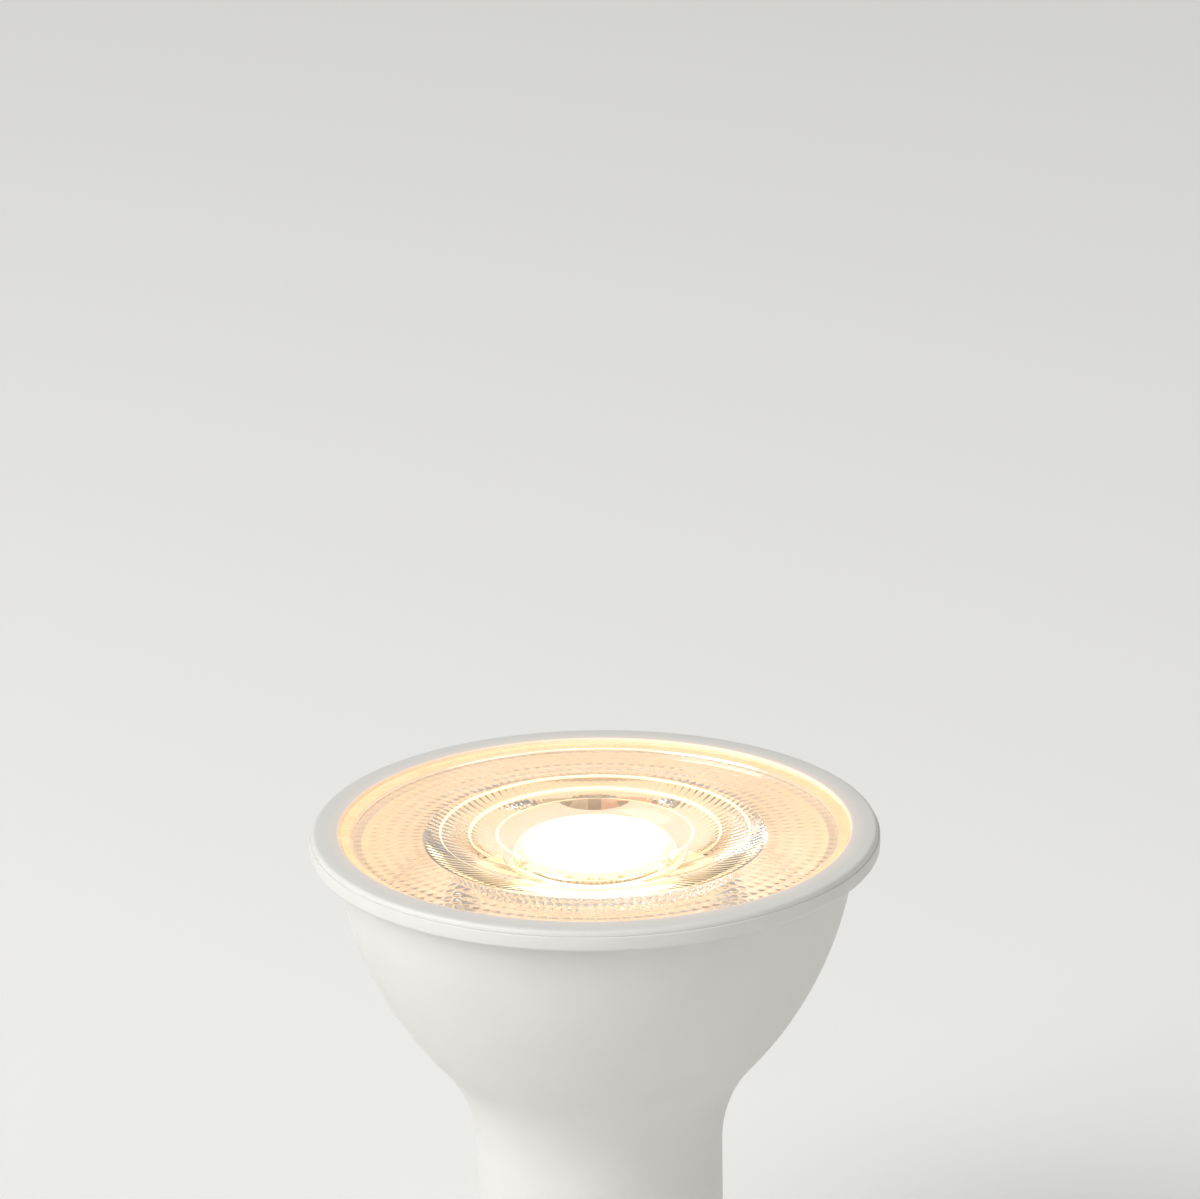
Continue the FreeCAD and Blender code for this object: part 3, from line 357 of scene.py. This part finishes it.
def tint(material, shader, low, high, size=6.0):
    """Slow, faint change of colour across a surface, between two hex colours."""
    link(material, blend(material, noise_of(material, size), low, high), shader, "Base Color")


def math_node(material, operation, first, second):
    """A Math node; each value is a number or another node's output."""
    node = add_node(material, "ShaderNodeMath", {"operation": operation})
    for index, value in enumerate((first, second)):
        if isinstance(value, (int, float)):
            node.inputs[index].default_value = value
        else:
            material.node_tree.links.new(value, node.inputs[index])
    return node.outputs["Value"]


def sum_of_squares(material, first, second):
    return math_node(material, "ADD", math_node(material, "MULTIPLY", first, first),
                     math_node(material, "MULTIPLY", second, second))


def places_of(material):
    """Distance from the lamp's axis and height, in millimetres, and the place itself in millimetres."""
    scaled = add_node(material, "ShaderNodeVectorMath", {"operation": "SCALE", "Scale": 1 / MM},
                      {0: object_place(material)}).outputs["Vector"]
    parts = add_node(material, "ShaderNodeSeparateXYZ", {}, {0: scaled}).outputs
    squares = sum_of_squares(material, parts["X"], parts["Y"])
    return math_node(material, "SQRT", squares, 0.0), parts["Z"], parts


def both(material, first, second):
    """1 where two masks are 1, and 0 elsewhere."""
    return math_node(material, "MULTIPLY", first, second)


def between(material, value, low, high):
    """1 where the value lies between two numbers, and 0 elsewhere."""
    return both(material, math_node(material, "GREATER_THAN", value, low),
                math_node(material, "LESS_THAN", value, high))


def ramp(material, value, stops):
    """Colour ramp over a value; each stop is (value, hex colour)."""
    low = stops[0][0]
    high = stops[-1][0]
    share = add_node(material, "ShaderNodeMapRange", {"From Min": low, "From Max": high}, {"Value": value})
    node = add_node(material, "ShaderNodeValToRGB", {}, {"Fac": share.outputs["Result"]})
    elements = node.color_ramp.elements
    while len(elements) < len(stops):
        elements.new(0.5)
    for element, (place, colour) in zip(elements, stops):
        element.position = (place - low) / (high - low)
        element.color = linear(colour)
    return node.outputs["Color"]


WHITE_LOW = "#E6E5E1"
WHITE_HIGH = "#EDECE8"


def white_polycarbonate():
    """Polycarbonate, injection moulded in an eroded mould: an even, slightly warm white with a soft sheen."""
    material, shader = new_material("white_polycarbonate", {"IOR": 1.58})
    tint(material, shader, WHITE_LOW, WHITE_HIGH)
    grain(material, shader, 0.16, 0.006, (0.42, 0.55))
    return material


def glowing_polycarbonate():
    """The same polycarbonate round the lens: its thin walls let the light through, so they glow amber, and a
    little of it reaches the hollow under the heat sink."""
    material, shader = new_material("glowing_polycarbonate", {"IOR": 1.58, "Emission Strength": 1.0})
    tint(material, shader, WHITE_LOW, WHITE_HIGH)
    grain(material, shader, 0.16, 0.006, (0.42, 0.55))
    radius, height, _ = places_of(material)
    seat = between(material, height, FLANGE_UNDER + LOOSE_GAP, LIP_UNDER + FIT_GAP)
    inside = both(material, seat, math_node(material, "LESS_THAN", radius, RECESS_RADIUS + FIT_GAP))
    face = math_node(material, "GREATER_THAN", height, LIP_UNDER + FIT_GAP)
    fading = ramp(material, radius, [
        (OPENING_RADIUS, "#C98B48"), (OPENING_RADIUS + 0.25, "#5A4026"), (OPENING_RADIUS + 1.2, "#2A2018"),
        (RING_RADIUS, "#000000"),
    ])
    from_centre = sum_of_squares(material, math_node(material, "SUBTRACT", radius, BOWL_CENTRE_R),
                                 math_node(material, "SUBTRACT", height, BOWL_CENTRE_Z))
    within = math_node(material, "LESS_THAN", from_centre, (BOWL_ARC - SHELL_WALL / 2) ** 2)
    hollow = both(material, within, math_node(material, "LESS_THAN", height, FLANGE_UNDER))
    leak = blend(material, hollow, blend(material, face, "#000000", fading), "#7A6248")
    link(material, blend(material, inside, leak, "#8A7459"), shader, "Emission Color")
    return material


def clear_acrylic():
    """Acrylic, injection moulded in a polished mould: clear, so that the lit board shows, bent by its facets.
    The micro lenses over the LEDs scatter their light and shine white-hot. The facets and the outer wall
    scatter a little too, and the cone none, so it looks grey where it shows the surroundings. The steps of
    the face catch the light as thin bright rings."""
    material, shader = new_material("clear_acrylic", {
        "Base Color": linear("#FFFEFA"), "Roughness": 0.015, "IOR": 1.49, "Transmission Weight": 1.0,
        "Emission Strength": 3.2,
    })
    radius, height, parts = places_of(material)
    cavity = both(material, math_node(material, "LESS_THAN", radius, CAVITY_RADIUS + FIT_GAP),
                  between(material, height, CAVITY_FOOT + LOOSE_GAP, LENS_BACK))
    shine = ramp(material, radius, [(0, "#FFF6E6"), (4.5, "#FFF0D8"), (6.0, "#C9B08A"), (7.2, "#8F7348")])
    pitch = math.tau / MICRO_PITCH
    turns = [math_node(material, "MULTIPLY", parts[axis], pitch) for axis in "XY"]
    waves = [math_node(material, "SINE", turn, 0.0) for turn in turns]
    cells = math_node(material, "MULTIPLY", *waves)
    level = math_node(material, "ADD", math_node(material, "MULTIPLY", cells, 0.35), 0.65)
    shaded = add_node(material, "ShaderNodeVectorMath", {"operation": "SCALE"}, {0: shine, "Scale": level})
    below_face = math_node(material, "LESS_THAN", height, LENS_FLANGE_TOP - FIT_GAP)
    outer = math_node(material, "GREATER_THAN", radius, CONE_MOUTH - LOOSE_GAP)
    facets = blend(material, both(material, below_face, outer), "#000000", "#37302C")
    wall = math_node(material, "GREATER_THAN", radius, LENS_PLUG - FIT_GAP / 2)
    scatter = blend(material, both(material, below_face, wall), facets, "#4E4033")
    on_face = math_node(material, "GREATER_THAN", height, LENS_BACK + LENS_DISC / 2)
    steps = [between(material, radius, inner, rim) for inner, rim in FACE_STEPS]
    step = math_node(material, "MAXIMUM", steps[0], math_node(material, "MAXIMUM", *steps[1:]))
    ringed = blend(material, both(material, on_face, step), scatter, "#8A7A60")
    link(material, blend(material, cavity, ringed, shaded.outputs["Vector"]), shader, "Emission Color")
    return material


def lit_mask():
    """White solder mask on the LED board, in the light that the lens throws back on it: cream, and brighter
    towards the LEDs."""
    material, shader = new_material("white_solder_mask", {
        "Base Color": linear("#E6E2D8"), "Emission Strength": 0.6,
    })
    radius, _, _ = places_of(material)
    glow = ramp(material, radius, [
        (0, "#FFF4E0"), (9, "#FFEFD6"), (12, "#FFE4C0"), (15, "#FFD6A4"), (19, "#F0BE88"),
    ])
    link(material, glow, shader, "Emission Color")
    grain(material, shader, 0.4, 0.004, (0.3, 0.42))
    return material


def lit_aluminium():
    """Deep-drawn aluminium cup: satin, and it throws the LEDs' warm light back, dimly round the lead hole."""
    material, shader = new_material("drawn_aluminium", {
        "Base Color": linear("#D5D6D8"), "Metallic": 1.0, "Emission Strength": 0.5,
    })
    _, height, _ = places_of(material)
    inside = math_node(material, "GREATER_THAN", height, BOARD_TOP)
    link(material, blend(material, inside, "#8C7354", "#FFCF92"), shader, "Emission Color")
    grain(material, shader, 0.5, 0.004, (0.28, 0.42))
    return material


def shining(name, low, high, glow, strength, roughness):
    """A surface in full light inside the lamp: its own colour, and the light that leaves it. On the LED
    packages that is their own light; on the other parts it is a painted glow.
    """
    material, shader = new_material(name, {"Emission Strength": strength, "Emission Color": linear(glow)})
    tint(material, shader, low, high, 0.6)
    grain(material, shader, 0.12, 0.002, roughness)
    return material


def plain(name, low, high, roughness, metallic=0.0, size=0.4, depth=0.006):
    """A moulded, cast, lacquered or metal surface: a faint change of colour and a fine grain."""
    material, shader = new_material(name, {"Metallic": metallic})
    tint(material, shader, low, high, 2.0)
    grain(material, shader, size, depth, roughness)
    return material


def wound(name, low, high, pitch, direction):
    """Enamelled wire wound side by side: bright copper under clear lacquer, with a groove between turns."""
    material, shader = new_material(name, {"Metallic": 1.0, "Roughness": 0.3, "Coat Weight": 0.6})
    wave = add_node(material, "ShaderNodeTexWave", {
        "bands_direction": direction, "wave_profile": "SIN", "Scale": 1 / (pitch * MM) * math.tau / 20,
        "Distortion": 0.4, "Detail": 1.0,
    }, {"Vector": object_place(material)}).outputs["Fac"]
    # The colour darkens into the groove between turns: painted shade.
    link(material, blend(material, wave, low, high), shader, "Base Color")
    groove = {"Strength": 1.0, "Distance": pitch * MM / 3}
    bump = add_node(material, "ShaderNodeBump", groove, {"Height": wave})
    link(material, bump.outputs["Normal"], shader, "Normal")
    return material


# Pieces
def make_housing(material):
    """Shell: flange, bowl and neck in one moulding, with ribs for the heat sink and guides for the board."""
    mesh = turned_mesh([
        (NECK_INNER, SHELL_FOOT),
        (NECK_RADIUS, SHELL_FOOT, 0.1),
        (NECK_RADIUS, WAIST_CENTRE_Z),
        (*bowl_foot(0), WAIST_ARC, -1),
        (MOUTH_RADIUS, FLANGE_UNDER, BOWL_ARC, 1),
        (RIM_RADIUS, FLANGE_UNDER, 0.3),
        (RIM_RADIUS, PARTING, 0.12),
        (RECESS_RADIUS, PARTING, 0.05),
        (RECESS_RADIUS, SNAP_HEIGHT + SNAP_WIDTH / 2),
        (RECESS_RADIUS + SNAP_BEAD, SNAP_HEIGHT),
        (RECESS_RADIUS, SNAP_HEIGHT - SNAP_WIDTH / 2),
        (RECESS_RADIUS, LEDGE),
        (MOUTH_INNER, LEDGE, 0.05),
        (MOUTH_INNER, FLANGE_UNDER),
        (*bowl_foot(SHELL_WALL), BOWL_ARC - SHELL_WALL, -1),
        (NECK_INNER, WAIST_CENTRE_Z, WAIST_ARC + SHELL_WALL, 1),
    ])
    rib_foot = CUP_SEAT - RIB_DROP
    rib_inner = SCREW_OFFSET + RIB_INSET
    rib_outer = bowl_radius(rib_foot, SHELL_WALL / 2)
    for rib in range(RIB_COUNT):
        low = (rib_inner, -RIB_THICK / 2, rib_foot)
        high = (rib_outer, RIB_THICK / 2, CUP_SEAT)
        add_box(mesh, low, high, math.tau * rib / RIB_COUNT)
    for side in (0, math.pi):
        front, back = (DRIVER_FRONT, DRIVER_BACK) if side == 0 else (-DRIVER_BACK, -DRIVER_FRONT)
        for low_deep in (front + FIT_GAP, back - FIT_GAP - GUIDE_THICK):
            low = (DRIVER_HALF_WIDTH - GUIDE_GRIP, low_deep, CAP_TOP + LOOSE_GAP)
            high = (NECK_INNER + LOOSE_GAP, low_deep + GUIDE_THICK, WAIST_CENTRE_Z)
            add_box(mesh, low, high, side)
    return as_piece("housing_shell", mesh, [material], "white_plastic", "housing")


def make_front_ring(material):
    """Ring that holds the lens, with a rounded outer edge and a bead that snaps into the flange."""
    mesh = turned_mesh([
        (OPENING_RADIUS, LIP_UNDER),
        (SPIGOT_INNER, LIP_UNDER),
        (SPIGOT_INNER, RING_FOOT),
        (SPIGOT_OUTER, RING_FOOT),
        (SPIGOT_OUTER, SNAP_HEIGHT - SNAP_WIDTH / 2),
        (SPIGOT_OUTER + SNAP_BEAD, SNAP_HEIGHT),
        (SPIGOT_OUTER, SNAP_HEIGHT + SNAP_WIDTH / 2),
        (SPIGOT_OUTER, PARTING),
        (RING_RADIUS, PARTING, 0.06),
        (RING_RADIUS, RING_TOP, 0.42),
        (OPENING_RADIUS, RING_TOP, 0.12),
    ])
    return as_piece("front_ring_moulding", mesh, [material], "white_plastic", "front_ring")


def lens_outline():
    """Section of the lens, from the middle of the cavity out along the back and in over the face."""
    cavity_top = CAVITY_RADIUS - CAVITY_TAPER
    cavity_arc = (cavity_top ** 2 + CAVITY_DOME ** 2) / (CAVITY_DOME * 2)
    dome_arc = (DOME_RADIUS ** 2 + DOME_RISE ** 2) / (DOME_RISE * 2)
    terrace_floor = LENS_FACE - TERRACE_DEPTH
    dish_floor = LENS_FACE - DISH_DEPTH
    dish_step = DISH_DEPTH - TERRACE_DEPTH
    face_radius = OPENING_RADIUS - LOOSE_GAP
    micro_chord = MICRO_PITCH / 3.2
    pillow_steps = PILLOW_ROWS * 6
    back_step = (LENS_PLUG - CONE_MOUTH) / pillow_steps
    back = [(CONE_MOUTH + back_step * step, LENS_BACK) for step in range(1, pillow_steps)]
    return [
        (0, CAVITY_FOOT + CAVITY_DEPTH - CAVITY_DOME),
        (cavity_top, CAVITY_FOOT + CAVITY_DEPTH, cavity_arc, 1, micro_chord),
        (CAVITY_RADIUS, CAVITY_FOOT),
        (CONE_FOOT, CAVITY_FOOT),
        (CONE_MOUTH, LENS_BACK, CONE_ARC, 1, 0.35),
        *back,
        (LENS_PLUG, LENS_BACK),
        (LENS_PLUG, LEDGE),
        (LENS_RADIUS, LEDGE),
        (LENS_RADIUS, LENS_FLANGE_TOP),
        (face_radius, LENS_FLANGE_TOP),
        (face_radius, LENS_FACE, 0.1),
        (TERRACE_RADIUS + TERRACE_DEPTH, LENS_FACE),
        (TERRACE_RADIUS, terrace_floor, TERRACE_DEPTH, 1, 0.05),
        (DISH_RADIUS + dish_step, terrace_floor),
        (DISH_RADIUS, dish_floor, dish_step, 1, 0.06),
        (DOME_RADIUS, dish_floor),
        (0, dish_floor + DOME_RISE, dome_arc, 1),
    ]


def emboss_lens(mesh):
    """Presses the flutes, the pillows and the micro lenses into the turned form."""
    row = (LENS_PLUG - CONE_MOUTH) / PILLOW_ROWS
    dome_top = CAVITY_FOOT + CAVITY_DEPTH
    pitch = math.tau / MICRO_PITCH
    for vert in mesh.verts:
        place = vert.co / MM
        across = math.hypot(place.x, place.y)
        flute = abs(math.sin(math.atan2(place.y, place.x) * FLUTE_COUNT / 2))
        if abs(place.z - LENS_BACK) < LOOSE_GAP / 2 and CONE_MOUTH < across < LENS_PLUG - LOOSE_GAP / 2:
            pillow = abs(math.sin(math.pi * (across - CONE_MOUTH) / row))
            vert.co.z -= PILLOW_DEPTH * (flute * pillow - 1) * MM
        elif CAVITY_FOOT < place.z < LENS_BACK - LOOSE_GAP / 2 and across > FLUTE_START:
            depth = FLUTE_DEPTH * (across - FLUTE_START) / (CONE_MOUTH - FLUTE_START)
            share = 1 + depth * (flute - 1) / across
            vert.co.x *= share
            vert.co.y *= share
        elif across < CAVITY_RADIUS - CAVITY_TAPER - LOOSE_GAP and place.z < dome_top:
            vert.co.z += MICRO_DEPTH * math.sin(place.x * pitch) * math.sin(place.y * pitch) * MM


def make_lens(material):
    """Lens: disc with a stepped dish, a fluted collimator below it and rows of pillows on its back."""
    mesh = turned_mesh(lens_outline(), steps=LENS_STEPS)
    emboss_lens(mesh)
    return as_piece("lens_optic", mesh, [material], "clear_optic", "lens")


def make_pads(material):
    """Tinned copper pads on the LED board, in front of the LEDs."""
    mesh = bmesh.new()
    for angle in PAD_ANGLES:
        low = (PAD_RADIUS - PAD_WIDTH / 2, -PAD_LENGTH / 2, BOARD_TOP - FIT_GAP)
        high = (PAD_RADIUS + PAD_WIDTH / 2, PAD_LENGTH / 2, BOARD_TOP + PAD_THICK)
        add_box(mesh, low, high, math.radians(angle))
    return as_piece("led_board_pads", mesh, [material], "solder")


def make_led(number, walls, window):
    """LED package: white walls round a window of phosphor."""
    node = f"led_package_{number}"
    mesh = merged_copy(node)
    for face in mesh.faces:
        sunk = face.calc_center_median().z / MM < LED_TOP - LOOSE_GAP
        face.material_index = int(sunk and face.normal.z > 0.9)
    return as_piece(f"led_{number}", mesh, [walls, window], "led_phosphor", node)


white = white_polycarbonate()
glowing_white = glowing_polycarbonate()
make_housing(glowing_white)
make_front_ring(glowing_white)
make_lens(clear_acrylic())

led_walls = shining("led_white_walls", "#F4F1E8", "#FBF8F0", "#FFEBC8", 1.6, (0.35, 0.45))
led_window = shining("led_phosphor", "#FFD766", "#FFE08A", "#FFF1D6", 5.0, (0.2, 0.3))
for number in range(1, 8):
    make_led(number, led_walls, led_window)

nickel = plain("nickel_plated_brass", "#C9C5BA", "#D6D3C9", (0.24, 0.32), 1.0, 0.3, 0.001)
zinc = plain("zinc_plated_steel", "#C2C4C6", "#CFD1D3", (0.3, 0.42), 1.0)
tin = plain("bright_solder", "#C9CBCD", "#DADBDD", (0.18, 0.28), 1.0)
sleeve = plain("black_shrink_sleeve", "#1C1C1E", "#242427", (0.35, 0.45))
sintered = plain("sintered_ferrite", "#2E2F31", "#3A3B3D", (0.6, 0.75), 0.0, 0.15, 0.01)
epoxy = plain("moulded_epoxy", "#1E1E20", "#27272A", (0.5, 0.62), 0.0, 0.12, 0.006)

# The pads' warm glow is painted light that stands for the LEDs' light falling on them.
make_pads(shining("tinned_copper_painted_glow", "#B98A52", "#C79A62", "#A8743A", 0.5, (0.25, 0.35)))

for name, node, material, slot in (
    ("base_cap_moulding", "base_cap", white, "white_plastic"),
    ("twist_lock_pin_left", "contact_pin_left", nickel, "plated_brass"),
    ("twist_lock_pin_right", "contact_pin_right", nickel, "plated_brass"),
    ("heat_sink_cup", "heat_sink", lit_aluminium(), "bare_aluminium"),
    ("led_board_disc", "led_board", lit_mask(), "white_board"),
    ("pan_head_screw_left", "board_screw_left", zinc, "zinc_steel"),
    ("pan_head_screw_right", "board_screw_right", zinc, "zinc_steel"),
    ("lead_solder_mounds", "solder_joints", tin, "solder"),
):
    piece = as_piece(name, merged_copy(node), [material], slot, node)
    piece.modifiers.new("weighted_normals", "WEIGHTED_NORMAL").keep_sharp = True

carried_over = {
    # The thermal pad and the two LED wires glow with painted light that stands for the LEDs' light falling on
    # them.
    "thermal_pad": shining("silicone_thermal_pad", "#8E96A3", "#9AA2AE", "#8C7354", 0.65, (0.7, 0.85)),
    "led_wire_plus": shining("red_wire_insulation", "#B0685A", "#B97263", "#CFAE88", 1.0, (0.35, 0.45)),
    "led_wire_minus": shining("black_wire_insulation", "#4A4540", "#544E48", "#D2B48E", 1.0, (0.35, 0.45)),
    "live_wire": plain("brown_wire_insulation", "#5A3217", "#66391C", (0.35, 0.45)),
    "neutral_wire": plain("blue_wire_insulation", "#21499C", "#2C55AA", (0.35, 0.45)),
    "driver_board": plain("green_laminate", "#1F5A38", "#276644", (0.25, 0.35), 0.0, 0.8, 0.01),
    "bulk_capacitor": sleeve,
    "output_capacitor": sleeve,
    "film_capacitor": plain("cast_resin_case", "#A53020", "#B33A29", (0.25, 0.35)),
    "choke_core": sintered,
    "choke_winding": wound("choke_wire", "#7A3D17", "#D98A4A", 0.3, "X"),
    "transformer_core": sintered,
    "transformer_bobbin": plain("moulded_bobbin", "#19191A", "#222224", (0.5, 0.6)),
    "transformer_winding": wound("transformer_wire", "#7A3D17", "#D98A4A", 0.25, "X"),
    "fusible_resistor": plain("lacquered_ceramic", "#4E6B5C", "#5A7869", (0.4, 0.5)),
    "bridge_rectifier": epoxy,
    "driver_chip": epoxy,
    "output_diode": epoxy,
    "chip_resistors": plain("glazed_ceramic", "#202123", "#2C2D30", (0.2, 0.3)),
}
for node, material in carried_over.items():
    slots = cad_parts[node].data.materials
    slots.clear()
    slots.append(material)

# Floor, light and camera
FLOOR_SIZE = 6.0
FLOOR_LIFT = "#6C6C6B"
FLOOR_DROP = 0.02


def make_floor():
    """Pale, matte floor under the pins, which also fills the background. It looks a little lighter where the
    camera, a gloss or the lens sees it, and it lights nothing more."""
    material, shader = new_material("pale_floor", {
        "Base Color": linear("#EFEFED"), "Roughness": 0.9, "Specular IOR Level": 0.1,
        "Emission Strength": 1.0,
    })
    rays = add_node(material, "ShaderNodeLightPath").outputs
    seen = math_node(material, "MAXIMUM", rays["Is Camera Ray"],
                     math_node(material, "MAXIMUM", rays["Is Glossy Ray"], rays["Is Transmission Ray"]))
    link(material, blend(material, seen, "#000000", FLOOR_LIFT), shader, "Emission Color")
    mesh = bmesh.new()
    place = Matrix.Translation((0, 0, (PIN_TIP - FLOOR_DROP) * MM))
    bmesh.ops.create_grid(mesh, x_segments=1, y_segments=1, size=FLOOR_SIZE / 2, matrix=place)
    data = bpy.data.meshes.new("floor")
    mesh.to_mesh(data)
    mesh.free()
    data.materials.append(material)
    floor = bpy.data.objects.new("floor", data)
    bpy.context.scene.collection.objects.link(floor)


def make_world():
    world = bpy.data.worlds.new("studio")
    bpy.context.scene.world = world
    world.use_nodes = True
    background = world.node_tree.nodes["Background"].inputs
    background["Color"].default_value = linear("#FBFAF7")
    background["Strength"].default_value = 0.38


def soft_light(name, azimuth, elevation, distance, size, power):
    """Square soft box aimed at the bulb; the azimuth is measured from the camera's side towards the right."""
    data = bpy.data.lights.new(name, "AREA")
    data.shape = "SQUARE"
    data.size = size
    data.energy = power
    light = bpy.data.objects.new(name, data)
    bpy.context.scene.collection.objects.link(light)
    turn = math.radians(azimuth)
    rise = math.radians(elevation)
    back = Vector((math.sin(turn) * math.cos(rise), -math.cos(turn) * math.cos(rise), math.sin(rise)))
    light.location = Vector((0, 0, 0.03)) + back * distance
    light.rotation_euler = back.to_track_quat("Z", "Y").to_euler()


# The photograph's frame is 1200 by 1199 pixels, with the rim's centre at this pixel and this scale there
PHOTO_WIDTH = 1200
PHOTO_HEIGHT = 1199
RIM_PIXEL = (594.9, 826.5)
PIXELS_PER_MM = 11.4
CAMERA_ELEVATION = math.radians(20.9)
CAMERA_ROLL = math.radians(-0.77)
CAMERA_DISTANCE = 0.6
SENSOR_WIDTH = 36.0


def make_camera():
    """Camera at the photograph's angle, turned so that the rim's centre falls at its pixel."""
    focal_pixels = PIXELS_PER_MM * CAMERA_DISTANCE / MM
    data = bpy.data.cameras.new("camera")
    data.sensor_width = SENSOR_WIDTH
    data.lens = focal_pixels * SENSOR_WIDTH / PHOTO_WIDTH
    data.clip_start = 0.01
    data.clip_end = 20
    camera = bpy.data.objects.new("camera", data)
    bpy.context.scene.collection.objects.link(camera)
    back = Vector((0, -math.cos(CAMERA_ELEVATION), math.sin(CAMERA_ELEVATION)))
    right_of_middle = RIM_PIXEL[0] - PHOTO_WIDTH / 2
    below_middle = RIM_PIXEL[1] - PHOTO_HEIGHT / 2
    aim = back.to_track_quat("Z", "Y").to_matrix().to_4x4()
    roll = Matrix.Rotation(CAMERA_ROLL, 4, "Z")
    pitch = Matrix.Rotation(math.atan(below_middle / focal_pixels), 4, "X")
    yaw = Matrix.Rotation(math.atan(right_of_middle / focal_pixels), 4, "Y")
    place = Matrix.Translation(Vector((0, 0, RING_TOP * MM)) + back * CAMERA_DISTANCE)
    camera.matrix_world = place @ aim @ roll @ pitch @ yaw
    bpy.context.scene.camera = camera


make_floor()
make_world()
soft_light("key_light", -62, 38, 1.0, 0.7, 7.5)
soft_light("fill_light", 55, 30, 1.4, 0.9, 2)
make_camera()
bpy.context.scene.view_settings.view_transform = "Standard"
